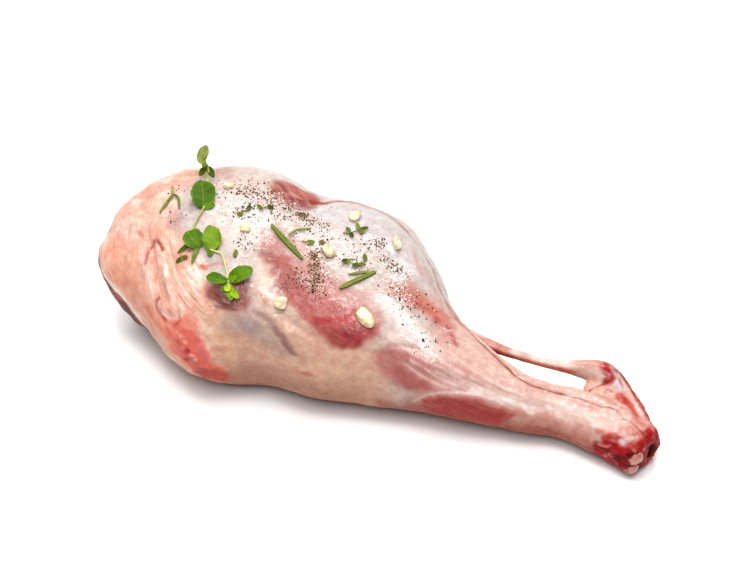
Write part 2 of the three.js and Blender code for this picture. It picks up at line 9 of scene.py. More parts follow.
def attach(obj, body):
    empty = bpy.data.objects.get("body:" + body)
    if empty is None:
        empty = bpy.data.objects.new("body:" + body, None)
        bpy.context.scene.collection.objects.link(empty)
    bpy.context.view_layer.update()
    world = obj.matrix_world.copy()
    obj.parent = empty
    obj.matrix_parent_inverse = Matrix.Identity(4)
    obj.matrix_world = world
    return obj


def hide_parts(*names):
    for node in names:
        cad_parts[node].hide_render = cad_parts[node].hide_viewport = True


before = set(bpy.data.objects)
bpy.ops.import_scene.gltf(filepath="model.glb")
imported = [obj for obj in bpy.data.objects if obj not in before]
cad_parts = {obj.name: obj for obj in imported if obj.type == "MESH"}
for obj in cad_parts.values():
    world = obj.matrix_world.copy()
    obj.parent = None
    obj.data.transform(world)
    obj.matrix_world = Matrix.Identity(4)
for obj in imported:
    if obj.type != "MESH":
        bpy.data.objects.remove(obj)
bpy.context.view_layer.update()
print("frame loaded:", len(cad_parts), "solids")

# Everything below is worked out in millimetres, in the part's own frame, and made metres as it goes in.
metre = 0.001
middle = np.array([-0.26, -0.44, 0])  # the part's own centring, added to every place given here
seeded = np.random.default_rng(7)

view = {
    "azimuth": 28,
    "elevation": 45,
    "distance": 1500,
    "lens": 94.6,  # on a 36 mm sensor
    "aim": (-27.8, 44.1, 40),
}


def linear(hexColour):
    # an sRGB hex colour as linear red, green and blue
    srgb = np.array([int(hexColour[i:i + 2], 16) for i in (1, 3, 5)]) / 255
    return np.where(srgb <= 0.04045, srgb / 12.92, ((srgb + 0.055) / 1.055) ** 2.4)


def bell(t):
    # 1 at 0, falling off on both sides
    return np.exp(-t * t)


def ease(t, low=0.0, high=1.0):
    # 0 below low, 1 above high, and a smooth step between
    t = np.clip((t - low) / (high - low), 0, 1)
    return t * t * (3 - 2 * t)


def signedPower(t, power):
    # a power that keeps the sign
    return np.sign(t) * np.abs(t) ** power


def noise(points, size, seed):
    # random values at the corners of a grid of cells, blended smoothly between them, from -1 to 1
    places = points / size
    cell = np.floor(places).astype(np.int64)
    part = places - cell
    part = part ** 3 * (part * (6 * part - 15) + 10)
    total = np.zeros(len(points))
    for corner in np.ndindex(2, 2, 2):
        c = cell + corner
        h = (c[:, 0] * 73856093) ^ (c[:, 1] * 19349663) ^ (c[:, 2] * 83492791) ^ (seed * 9176377)
        h = ((h ^ (h >> 13)) * 1274126177) & 0x7FFFFFFF
        share = np.prod(np.where(corner, part, 1 - part), axis=1)
        total += share * (((h ^ (h >> 15)) & 0xFFFF) / 32767.5 - 1)
    return total


def cubic(t):
    # the weights of a smooth cubic at t from 0 to 1: those of its two ends, and of the slopes there
    return 2 * t ** 3 - 3 * t ** 2 + 1, 3 * t ** 2 - 2 * t ** 3, t ** 3 - 2 * t ** 2 + t, t ** 3 - t ** 2


def alongRow(row, t):
    # a smooth curve through a row of points, where t runs from 0 to 1
    row = np.asarray(row, float)
    row = np.concatenate([[2 * row[0] - row[1]], row, [2 * row[-1] - row[-2]]])
    spans = len(row) - 3
    place = np.clip(t, 0, 1) * spans
    i = np.minimum(place.astype(int), spans - 1)
    atStart, atEnd, slopeStart, slopeEnd = cubic((place - i)[:, None])
    before, a, b, after = row[i], row[i + 1], row[i + 2], row[i + 3]
    return atStart * a + slopeStart * (b - before) / 2 + atEnd * b + slopeEnd * (after - a) / 2


def unit(v):
    # vectors made one long
    return v / np.maximum(np.linalg.norm(v, axis=-1, keepdims=True), 1e-9)


def closedShell(rings):
    # rows of closed rings, with a point at each end that closes them, as points and faces turned outward
    n, m = rings.shape[:2]
    points = np.concatenate([rings.reshape(-1, 3), rings[[0, -1]].mean(1)])
    i, j = np.meshgrid(np.arange(n - 1), np.arange(m), indexing="ij")
    a, b = i * m + j, i * m + (j + 1) % m
    quads = np.stack([a, b, b + m, a + m], -1).reshape(-1, 4)
    j = np.arange(m)
    ends = [np.stack([(j + 1) % m, j, np.full(m, n * m)], -1),
            np.stack([j, (j + 1) % m, np.full(m, n * m + 1)], -1) + [[(n - 1) * m, (n - 1) * m, 0]]]
    triangles = np.concatenate(ends)
    p, q, r = (points[np.concatenate([quads[:, k], quads[:, k2], triangles[:, k3]])]
               for k, k2, k3 in ((0, 0, 0), (1, 2, 1), (2, 3, 2)))
    if (np.cross(p, q) * r).sum() < 0:
        quads, triangles = quads[:, ::-1], triangles[:, ::-1]
    return points, quads, triangles


def joined(shells):
    # several closed shells as one set of points and faces
    starts = np.cumsum([0] + [len(s[0]) for s in shells])
    points = np.concatenate([s[0] for s in shells])
    faces = [f for s, start in zip(shells, starts) for group in s[1:] for f in (group + start).tolist()]
    return points, faces


def added(name, data):
    # a new object in the scene
    made = bpy.data.objects.new(name, data)
    bpy.context.scene.collection.objects.link(made)
    return made


def makeObject(name, points, faces, smooth=True):
    # an object from points in millimetres and faces
    mesh = bpy.data.meshes.new(name)
    mesh.from_pydata((points * metre).tolist(), [], faces)
    mesh.polygons.foreach_set("use_smooth", [smooth] * len(mesh.polygons))
    return added(name, mesh)


def carry(made, **attributes):
    # values, vectors or colours for every point of the mesh
    kinds = {1: ("FLOAT", "value"), 3: ("FLOAT_VECTOR", "vector"), 4: ("FLOAT_COLOR", "color")}
    for name, values in attributes.items():
        values = np.asarray(values, np.float32)
        kind, field = kinds[1 if values.ndim == 1 else values.shape[1]]
        made.data.attributes.new(name, kind, "POINT").data.foreach_set(field, values.ravel())


def opaque(colours):
    # linear colours with a full alpha
    return np.concatenate([colours, np.ones((len(colours), 1))], axis=1)


def finishPiece(made, material, slot, *nodes):
    # gives a piece its material and its body, and hides the nodes that it stands for; slot is not used
    made.data.materials.append(material)
    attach(made, "root")
    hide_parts(*nodes)


# The leg
leg = {
    # x, middle in y, width, height and lift of each level section
    "sections": [
        (-221, -15, 92, 80, 16), (-204, -6, 118, 95, 6), (-177, 4, 147, 106, -3), (-137, 3, 179, 112, -3),
        (-97, -3, 176, 113, -3), (-57, 9, 168, 108, -3), (-22, 13, 162, 99, -2), (13, 7, 125, 86, 1),
        (48, -5, 77, 70, 5), (83, -7, 55, 54, 7), (118, -4, 38, 44, 6), (148, 6, 35, 40, 3),
        (178, 10, 41, 40, 0), (198, 7, 38, 38, -1), (214, 3, 35, 35, -1),
    ],
    "buttCap": {"length": 38, "share": 0.15, "power": 0.48},
    "hockCap": {"length": 9, "share": 0.06, "power": 0.36},
    "widestAt": 0.44,
    "upperPower": 0.94,
    "lowerPower": {"thigh": 0.7, "shank": 0.95, "start": 16, "end": 136},
    "undercut": (40, 65),  # depth and reach of the cut butt's lean
    "buttSlant": (20, 42),
    "hockSlant": (6, 25),
    # x, side, along, across, turn and rise of each muscle's swell or hollow
    "swells": [
        (-126, 96, 42, 32, 0, 3), (-76, 106, 32, 9, 50, -4.5), (-26, 120, 44, 27, 14, 4.5),
        (-62, 148, 34, 14, 28, 3), (-81, 58, 14, 22, 0, -7), (-12, 60, 46, 17, 0, 3),
        (46, 84, 22, 13, -8, -4.5), (-102, 178, 20, 13, 10, 4), (-64, 192, 26, 22, 0, -4.5),
        (28, 142, 14, 22, 0, -2.5), (78, 156, 34, 11, -6, 3), (66, 128, 36, 8, -10, 2.2),
        (74, 142, 40, 4, -8, -1.8), (191, 150, 12, 9, 0, 2), (-212, 48, 22, 34, 0, 9),
        (-188, 128, 9, 40, -55, 0.6), (-162, 126, 8, 44, -55, 0.4), (-174, 127, 6, 40, -55, -0.5),
        (-136, 132, 7, 34, -55, 0.7),
    ],
    # the same for the smaller forms, which stand out square to the skin
    "forms": [
        (-209, 131, 11, 15, 0, -4.5), (-194, 156, 15, 16, 20, 2.4), (-138, 62, 34, 15, 0, 3.2),
        (-160, 147, 14, 3.2, 42, 1.5), (-141, 141, 15, 3.2, 45, 1.5), (-128, 139.5, 15, 2.4, 40, 1),
        (-114, 139, 14, 2.2, 38, 0.9), (-154, 142, 13, 2.6, 44, -0.8), (-135, 139, 13, 2, 43, -0.7),
        (-132, 154.5, 9, 5.5, -6, 2.8), (-184, 118, 9, 7, 0, 1.4), (-192, 124, 6, 5, 0, -1.2),
        (-116, 167, 2, 1.8, 0, 1.5), (-113, 170, 1.8, 1.6, 0, 1.2), (-107, 177, 2.4, 1.8, 20, 1.5),
        (-104, 180, 2, 1.6, 0, 1.2), (-111, 174, 3, 3, 0, -1.2),
        (-168, 128, 5, 4, 40, -1.5), (-100, 60, 16, 12, -18, -1.6), (-78, 62, 8, 5, 0, 1.2),
        (4, 132, 13, 11, 0, 2.4), (8, 146, 18, 3, -10, -1.4), (-40, 142, 26, 3, 16, -1.2),
        (30, 76, 8, 5, 0, -1.6), (50, 80, 7, 4, 10, -1.4), (-12, 45, 40, 3, 0, -1),
    ],
    # x, y, z and radius of the heel tendon, from inside the thigh to the hock
    "tendon": [
        (32, 20, 40, 9), (46, 24, 41, 8), (59, 27, 39.5, 6.5), (72, 28.5, 37.5, 5.2), (91, 31.5, 34, 4.2),
        (113, 37, 30.5, 3.8), (130, 41.5, 29.5, 4.7), (143, 46, 29, 7), (156, 49, 28.5, 9.6),
        (168, 46.5, 27.5, 8.8), (180, 40, 26, 7), (192, 32, 24.5, 6.2), (203, 22, 23, 6),
        (211, 13, 21, 6.5),
    ],
    "web": {"at": (167, 34, 24), "size": (18, 13, 6.5), "turn": -24},
    "pit": {"at": (216, 7, 17), "size": (9, 5, 7)},
    "voxel": 1.62,  # mesh spacing at the thigh, as fine as a piece may be
    "smoothing": {"weight": 0.6, "lessAtShank": 0.3, "rounds": 6, "jointRounds": 7},
    "finer": (30, 150, 1.7),  # the spacing shrinks by this much from the knee to the hock
}
sections, swells = np.array(leg["sections"], float), np.array(leg["swells"], float)
legStart, legEnd = sections[0, 0], sections[-1, 0]


def sectionAt(x):
    # middle, width, height and lift of the section at x, on smooth curves through the rows
    at, slopes = sections[:, 0], np.empty_like(sections)
    slopes[1:-1] = (sections[2:] - sections[:-2]) / (at[2:] - at[:-2])[:, None]
    slopes[0] = (sections[1] - sections[0]) / (at[1] - at[0])
    slopes[-1] = (sections[-1] - sections[-2]) / (at[-1] - at[-2])
    i = np.clip(np.searchsorted(at, x, side="left") - 1, 0, len(at) - 2)
    span = (at[i + 1] - at[i])[..., None]
    atStart, atEnd, slopeStart, slopeEnd = cubic(np.clip((x - at[i])[..., None] / span, 0, 1))
    rows = (atStart * sections[i] + slopeStart * span * slopes[i]
            + atEnd * sections[i + 1] + slopeEnd * span * slopes[i + 1])
    return rows[..., 1], rows[..., 2], rows[..., 3], rows[..., 4]


def perDegree(x):
    # millimetres of skin to one degree round the leg
    _, width, height, _ = sectionAt(x)
    return (width + height) / 4 * math.pi / 180


def patch(x, side, scale, at, size, turn):
    # 1 in the middle of a long round patch of the skin, falling off on a bell curve
    dx, ds = x - at[0], (side - at[1]) * scale
    c, s = math.cos(math.radians(turn)), math.sin(math.radians(turn))
    return bell((dx * c + ds * s) / size[0]) * bell((ds * c - dx * s) / size[1])


def raised(forms, x, side, scale):
    # the sum of several swells and hollows
    return sum(f[5] * patch(x, side, scale, f[:2], f[2:4], f[4]) for f in forms)


def roundness(x, up):
    # the power of a section's curve: one above its widest line, and below it from the thigh's to the shank's
    low = leg["lowerPower"]
    reach = np.clip((x - low["start"]) / (low["end"] - low["start"]), 0, 1)
    return np.where(up > 0, leg["upperPower"], low["thigh"] + (low["shank"] - low["thigh"]) * reach)


def slide(x, up, out):
    # how far the slanting cuts carry a place along x, by its share of the height and of the width
    fromStart, fromEnd = np.maximum(x - legStart, 0), np.maximum(legEnd - x, 0)
    under, butt, hock = leg["undercut"], leg["buttSlant"], leg["hockSlant"]
    return (under[0] * bell(fromStart / under[1]) * (1 - up)
            + butt[0] * bell(fromStart / butt[1]) * out + hock[0] * bell(fromEnd / hock[1]) * out)


def legRings(steps, count):
    # the skin: superellipse sections along x that close at both ends, lifted by the swells
    along, turn = np.meshgrid(np.linspace(0.003, 0.997, steps), np.arange(count) / count, indexing="ij")
    cap, hockCap = leg["buttCap"], leg["hockCap"]
    body = np.clip((along - cap["share"]) / (1 - cap["share"] - hockCap["share"]), 0, 1)
    butt = np.clip(along / cap["share"], 0, 1) * math.pi / 2
    hock = np.clip((along - 1 + hockCap["share"]) / hockCap["share"], 0, 1) * math.pi / 2
    length = legEnd - legStart - cap["length"] - hockCap["length"]
    x = legStart + cap["length"] * (1 - np.cos(butt)) + length * body + hockCap["length"] * np.sin(hock)
    closing = np.sin(butt) ** cap["power"] * np.maximum(np.cos(hock), 0) ** hockCap["power"]
    y, width, height, lift = sectionAt(x)
    cos, sin = np.cos(2 * math.pi * turn), np.sin(2 * math.pi * turn)
    power = roundness(x, sin)
    out, up = signedPower(cos, power) * closing, signedPower(sin, power) * closing
    half = np.where(sin > 0, 1 - leg["widestAt"], leg["widestAt"]) * height
    side = (360 * (turn + 0.25)) % 360 - 90
    rise = raised(swells, x, side, (width + height) / 4 * math.pi / 180) * closing
    z = lift + leg["widestAt"] * height + half * up + rise * sin
    return np.stack([x + slide(x, z / (lift + height), out), y + width / 2 * out + rise * cos, z], -1)


def skinPlace(points, tries=24):
    # the section x and the side angle of points near the skin: the steps above, undone
    x = points[:, 0].copy()
    for _ in range(tries):
        y, width, height, lift = sectionAt(x)
        out = np.clip((points[:, 1] - y) / (width / 2), -1.1, 1.1)
        slid = slide(x, points[:, 2] / (lift + height), out)
        x += (np.clip(points[:, 0] - slid, legStart, legEnd) - x) / 2
    y, width, height, lift = sectionAt(x)
    up = points[:, 2] - lift - leg["widestAt"] * height
    half = np.where(up > 0, 1 - leg["widestAt"], leg["widestAt"]) * height
    power = 1 / roundness(x, up)
    across = signedPower((points[:, 1] - y) / (width / 2), power)
    side = np.degrees(np.arctan2(signedPower(up / half, power), across))
    return x, np.where(side < -90, side + 360, side)


def tubeRings(row, steps, count, endShare=0.04):
    # a round tube along a row of x, y, z and radius, closed by rounded ends
    t = np.linspace(0, 1, steps)
    path = alongRow(row, t)
    tangent = unit(np.gradient(path[:, :3], axis=0))
    side = unit(np.cross(tangent, (0, 0.1, 1)))
    other = np.cross(side, tangent)
    closing = np.sqrt(np.clip(1 - (1 - np.minimum(t, 1 - t) / endShare).clip(0) ** 2, 1e-4, 1))
    turn = 2 * math.pi * np.arange(count)[None, :, None] / count
    radius = (path[:, 3] * closing)[:, None, None]
    return path[:, None, :3] + radius * (side[:, None] * np.cos(turn) + other[:, None] * np.sin(turn))


def ballRings(size, steps, count):
    # a ball stretched to three half sizes
    down, turn = np.meshgrid(np.linspace(0.02, math.pi - 0.02, steps),
                             2 * math.pi * np.arange(count) / count, indexing="ij")
    return np.stack([np.sin(down) * np.cos(turn), np.sin(down) * np.sin(turn), np.cos(down)], -1) * size


def turned(points, degrees):
    # points turned about the upright axis
    c, s = math.cos(math.radians(degrees)), math.sin(math.radians(degrees))
    return points @ np.array([[c, s, 0], [-s, c, 0], [0, 0, 1]])


def mergedSkin(name, points, faces, spacing):
    # shells that cross made into one closed skin of even faces, as a mesh and its points
    rough = makeObject(name, points, faces)
    remesh = rough.modifiers.new("oneSkin", "REMESH")
    remesh.mode, remesh.voxel_size = "VOXEL", spacing * metre
    mesh = bpy.data.meshes.new_from_object(rough.evaluated_get(bpy.context.evaluated_depsgraph_get()))
    bpy.data.objects.remove(rough)
    places = np.empty(len(mesh.vertices) * 3, np.float32)
    mesh.vertices.foreach_get("co", places)
    mesh.polygons.foreach_set("use_smooth", [True] * len(mesh.polygons))
    mesh.materials.clear()
    return mesh, places.reshape(-1, 3).astype(float) / metre


def normalsOf(mesh, places):
    # moves the mesh's points to these places and gives the way that the skin faces at each
    mesh.vertices.foreach_set("co", (places * metre).astype(np.float32).ravel())
    mesh.update()
    found = np.empty(len(places) * 3, np.float32)
    mesh.vertex_normals.foreach_get("vector", found)
    return found.reshape(-1, 3).astype(float)


# The skin is merged in a space that widens towards the hock, which leaves smaller faces there.
row = np.linspace(-260, 260, 2081)
widening = 1 + (leg["finer"][2] - 1) * ease(row, *leg["finer"][:2])
widened = np.cumsum(widening) * (row[1] - row[0])
web = leg["web"]
webRings = turned(ballRings(web["size"], 30, 40), web["turn"]) + web["at"]
tendonRings = tubeRings(leg["tendon"], 220, 36)
points, faces = joined([closedShell(rings) for rings in (legRings(380, 260), tendonRings, webRings)])
wide = np.interp(points[:, 0], row, widening)[:, None]
points = np.column_stack([np.interp(points[:, 0], row, widened), points[:, 1:] * wide])
skin, points = mergedSkin("legRough", points, faces, leg["voxel"])
backX = np.interp(points[:, 0], widened, row)
points = np.column_stack([backX, points[:, 1:] / np.interp(backX, row, widening)[:, None]])
edges = np.empty(len(skin.edges) * 2, np.int32)
skin.edges.foreach_get("vertices", edges)
edges = edges.reshape(-1, 2)
faceCount = len(skin.polygons)
print("leg skinned:", faceCount, "faces")


def relaxed(values, weight, rounds):
    # each point moves towards the mean of its neighbours, by weight, several times
    a, b = np.concatenate([edges, edges[:, ::-1]]).T
    count = np.bincount(a, minlength=len(values))[:, None]
    for _ in range(rounds):
        sums = [np.bincount(a, values[b, k], len(values)) for k in range(values.shape[1])]
        mean = np.stack(sums, -1) / count
        values = values + (mean - values) * weight[:, None]
    return values


# how far each point is outside the tendon: the gap to its nearest place, less the radius there
path = alongRow(leg["tendon"], np.linspace(0, 1, 90))
gaps = points[:, None].astype(np.float32) - path[None, :, :3].astype(np.float32)
gaps = np.sqrt((gaps ** 2).sum(-1))
offTendon = gaps.min(1) - path[gaps.argmin(1), 3]
del gaps
joint = ease(-np.abs(offTendon), -7, -1) * ease(points[:, 0], 38, 60)  # the corner between tendon and leg
smoothing = leg["smoothing"]
weight = smoothing["weight"] - smoothing["lessAtShank"] * ease(points[:, 0], 30, 70)
points = relaxed(points, weight, smoothing["rounds"])
points = relaxed(points, smoothing["weight"] * joint, smoothing["jointRounds"])
onTendon = ease(-offTendon, -2.5, 0.5) * ease(points[:, 0], 52, 70)

x, side = skinPlace(points)
scale = perDegree(x)
arc = (side - 120) * scale  # millimetres round the skin from its near upper side
normal = normalsOf(skin, points)


def onlySkin(along, across):
    # places for a pattern that lies flat on the skin
    return np.stack([along, across, 0 * x], -1)


# Wandering edges: the places are shifted a little before the patches are read.
wander = np.stack([noise(points, 13, 3), noise(points, 13, 4)], -1) * 2.6
wander += np.stack([noise(points, 5, 5), noise(points, 5, 6)], -1) * 1.5
px, pside = x + wander[:, 0], side + wander[:, 1] / scale
spot = np.stack([x, arc], -1)


def onSkin(places):
    # places given as x and side, in millimetres along and round the skin
    places = np.array(places, float)
    places[:, 1] = (places[:, 1] - 120) * perDegree(places[:, 0])
    return places


def gapTo(at, starts, ends):
    # how far each point of the skin is from the nearest of several straight lines on it
    best = np.full(len(at), 1e9)
    for a, b in zip(starts, ends):
        share = np.clip(((at - a) @ (b - a)) / ((b - a) @ (b - a)), 0, 1)[:, None]
        best = np.minimum(best, np.linalg.norm(at - a - share * (b - a), axis=1))
    return best


def strip(places, width, loose=0.25):
    # 1 along a row of places on the skin, falling off over its width
    places = onSkin(places)
    return bell(gapTo(spot + loose * wander, places[:-1], places[1:]) / width)


def region(outline, soft, loose=1.0):
    # 1 inside a closed outline of places on the skin, fading out across its edge
    starts, inside = onSkin(outline), np.zeros(len(x), bool)
    ends, at = np.roll(starts, -1, axis=0), spot + loose * wander
    for a, b in zip(starts, ends):
        crossed = (a[1] > at[:, 1]) != (b[1] > at[:, 1])
        inside ^= crossed & (at[:, 0] < a[0] + (at[:, 1] - a[1]) / (b[1] - a[1] + 1e-9) * (b[0] - a[0]))
    gap = gapTo(at, starts, ends)
    return ease(np.where(inside, gap, -gap), -soft, soft)


# Where the cover of fat ends on each side of the leg, and the outline of the cut that shows past its rim.
fatEdge = {
    "side": (-90, 20, 60, 92, 105, 114, 121, 131, 145, 156, 165, 180, 189, 200, 270),
    "x": (-150, -168, -176, -174, -158, -142, -122, -101, -96, -104, -93, -83, -80, -84, -150),
    "blend": 8,
    "cut": [(-214, 168), (-204, 168), (-196, 173), (-188, 177.5), (-181, 184), (-172, 192), (-164, 202),
            (-180, 216), (-214, 216)],
}
farWander = 14 * noise(points, 26, 35) * ease(-side, -60, -25)
fat = ease((np.interp(pside, fatEdge["side"], fatEdge["x"]) + farWander - px) / fatEdge["blend"], -0.5, 0.5)
# the cut face: what looks towards the butt and not down, near that end, and the outline below the rim
buttFace = ease(-normal[:, 0], 0.42, 0.62) * ease(-points[:, 0], 150, 170) * ease(-normal[:, 2], -0.35, -0.1)
buttFace = np.maximum(buttFace, region(fatEdge["cut"], 1.2, 0.5))
fat *= 1 - buttFace

# Folds of the fat run down towards the near side, steep at the butt and flatter towards the thigh.
foldAcross = arc - (0.92 * (x + 180) - 0.0037 * (x + 180) ** 2)
foldSpace = onlySkin(x / 3.6, foldAcross + 4 * noise(points, 22, 11))
folds = noise(foldSpace, 9, 12) + 0.6 * noise(points, 8, 14)
# lobes are the rounded cells between the lines where two noises are zero
lobeSpace = onlySkin(x * 0.75 + 5 * noise(points, 12, 17), foldAcross + 5 * noise(points, 12, 18))
lobes = np.minimum(np.abs(noise(lobeSpace, 15, 15)), 0.8 * np.abs(noise(lobeSpace, 9, 16)) + 0.1) - 0.45
lumpy = patch(x, side, scale, (-164, 121), (22, 12), 10) + patch(x, side, scale, (-137, 157), (12, 8), 10)
lumpy = np.clip(0.3 + 0.8 * lumpy, 0, 1)  # where the fat stands up in lobes
# the lines of its fine wrinkles, upright near the butt and bending along the leg: arc less the bend over x
pastTurn = np.clip(x + 168, 0, None)
bend = 0.3 * pastTurn - 43 * np.exp(-pastTurn / 16) + 3 * np.minimum(x + 168, 0)
fineFolds = 1 - 2 * np.abs(noise(foldSpace * [0.7, 1, 1], 3.6, 13))
wrinkled = patch(x, side, scale, (-112, 139), (19, 9), 22)
wrinkled += 0.5 * patch(x, side, scale, (-150, 130), (26, 12), 40)

# rows of places that are both pressed in and coloured
rows = {
    "longFold": [(-166, 128), (-158, 136), (-146, 141), (-134, 150)],
    "upperFold": [(-153, 122), (-142, 129), (-130, 135), (-112, 142), (-101, 144)],
    "midFold": [(-145, 121), (-136, 127), (-124, 132), (-110, 138)],
    "gash": [(-145, 153), (-147.5, 157), (-146, 161), (-141, 163), (-135, 164.5)],
    "vein": [(-167, 125), (-169, 132), (-167, 140)],
    "nick": [(-164, 124), (-160, 125), (-157, 127)],
}
creases = [  # places, depth and width of the single deep creases of the fat and the muscles
    (rows["longFold"], 0.6, 1.8), (rows["upperFold"], 0.6, 1.6), (rows["midFold"], 0.6, 1.4),
    ([(-157, 132), (-150, 139), (-142, 145), (-133, 148)], 0.6, 1.5),
    (rows["gash"], 1.8, 1.6), ([(-124, 150), (-118, 158), (-122, 164)], 0.9, 1.5),
    (rows["vein"], 1.6, 1.6), (rows["nick"], 1.4, 1.5),
    ([(-122, 126), (-112, 131), (-98, 135)], 0.8, 1.4), ([(-128, 134), (-114, 139), (-102, 142)], 0.8, 1.2),
    ([(-106, 154), (-102, 158), (-96, 165), (-88, 169), (-83, 179), (-80, 189)], 0.9, 1.8),
    ([(53, 52), (67, 50), (80, 54), (95, 64), (110, 80), (123, 89), (144, 92), (171, 84), (192, 86),
      (212, 86)], 1.1, 1.1),
    ([(-68, 141), (-52, 147), (-40, 154), (-32, 162)], 0.9, 2.4),
    ([(50, 184), (58, 171), (66, 160), (78, 148), (91, 141), (105, 140), (117, 149)], 0.8, 1.6),
    ([(26, 133), (46, 123), (74, 126), (97, 134)], 0.7, 1.8),
    ([(-98, 95), (-88, 104), (-77, 115), (-66, 126), (-53, 136)], 0.9, 2.2),
]
press = sum(depth * strip(places, width) for places, depth, width in creases)
press *= np.clip(0.75 + 0.7 * noise(points, 10, 29), 0.1, 1.3)

# the relief, along the skin's normal: soft lumps and the small forms less the creases, then the folds and
# lobes of the fat, its wrinkles, the fibres of the shank, the ragged hock and the uneven cut face
lumps = 0.7 * noise(points, 22, 21) + 0.35 * noise(points, 9, 22) + 0.16 * noise(points, 4, 27)
shankFibres = noise(onlySkin(x / 9, arc), 2.6, 23)
rise = lumps + raised(leg["forms"], x, side, scale) - press
rise += fat * (0.35 * folds + 1.9 * lumpy * lobes + 0.3 * noise(points, 4.5, 28))
rise += 0.7 * np.clip(wrinkled, 0, 1) * (fineFolds - 0.4) + 0.25 * shankFibres * ease(x, 20, 60)
rise *= 1 - 0.6 * onTendon
atHock = ease(points[:, 0], 172, 186)
rise += atHock * (0.55 * noise(points, 5, 24) + 0.4 * noise(points, 2.4, 25))
rise += buttFace * 0.8 * noise(points, 7, 26)
points = points + normal * rise[:, None]

# The hollow of the joint in the sawn end.
pit = leg["pit"]
depth = 1 - np.sqrt((((points - pit["at"]) / pit["size"]) ** 2).sum(1))
points[:, 0] -= np.clip(depth, 0, 1) ** 0.6 * pit["size"][0] * 0.9

points[:, 2] = np.maximum(points[:, 2], 0)  # it lies flat where it rests
points += middle
normal = normalsOf(skin, points)
print("leg shaped")

# The leg's colours, laid on from the broad to the small
tones = {
    "silverskin": "#b3a49c",
    "cream": "#c0957f",
    "creamShadedLow": "#a2735d",
    "farSide": "#a89a95",
    "underside": "#8a5f50",
    "shank": "#c09c90",
    "shankLowRedAndShade": "#96503f",
    "fat": "#dcaa95",
    "fatPale": "#ead0c2",
    "fatDeep": "#bf6f5a",
    "flesh": "#d96e55",
    "fleshDeep": "#c2352b",
    "lean": "#9c2626",
    "veil": "#aa746c",
    "cutMuscleInShade": "#5e1a0c",
    "cutSeam": "#8f5248",
    "rimLine": "#f3e2d4",
    "tendonTop": "#cdbbb1",
    "tendonLow": "#b04a30",
    "blood": "#8e0c10",
    "pit": "#260606",
}
tint = np.tile(linear(tones["silverskin"]), (len(points), 1))


def lay(share, colour):
    # brushes a colour over what is there already
    global tint
    share = np.clip(share, 0, 1)[:, None]
    tint = tint * (1 - share) + linear(colour) * share


lay(ease(pside, 126, 150) * ease(-px, -50, -20), tones["cream"])
lay(ease(-pside, -52, -30), tones["farSide"])
lay(ease(px, 28, 70), tones["shank"])
# darker red on the shank's lower near side: partly its red muscle, partly painted shade
lay(ease(px, 36, 70) * ease(pside, 150, 190), tones["shankLowRedAndShade"])
lay(fat, tones["fat"])
# the fat is paler where its folds rise, partly painted highlight, and darker and redder in the creases
# between its lobes, partly painted shade
lay(fat * ease(noise(points, 15, 31) + 0.7 * folds, 0.0, 1.0) * 0.7, tones["fatPale"])
lay(fat * lumpy * ease(-lobes, 0.18, 0.42) * ease(noise(points, 19, 32), -0.5, 0.4) * 0.75, tones["fatDeep"])
lay(fat * lumpy * ease(-lobes, 0.34, 0.45) * ease(noise(points, 12, 34), 0.0, 0.5) * 0.5, tones["fleshDeep"])
lay(fat * ease(noise(points, 5, 33), 0.35, 0.8) * 0.45, tones["fatPale"])
# darker cream low on the near side, where shade falls: painted shade
lay(ease(pside, 172, 190) * ease(-px, -40, 0) * (1 - fat), tones["creamShadedLow"])
# a darker brown on the sides that face the floor: painted shade
lay(np.clip(ease(pside, 198, 225) + ease(-pside, 10, 35), 0, 1), tones["underside"])

fleshPlaces = [
    (-162, 168), (-150, 163), (-139, 165), (-131, 162), (-124, 157), (-117, 153), (-110, 153), (-105, 158),
    (-100, 162), (-95, 167), (-89, 173), (-84, 181), (-80, 190), (-84, 206), (-100, 204), (-108, 193),
    (-118, 185), (-129, 180.5), (-142, 177), (-156, 174),
]
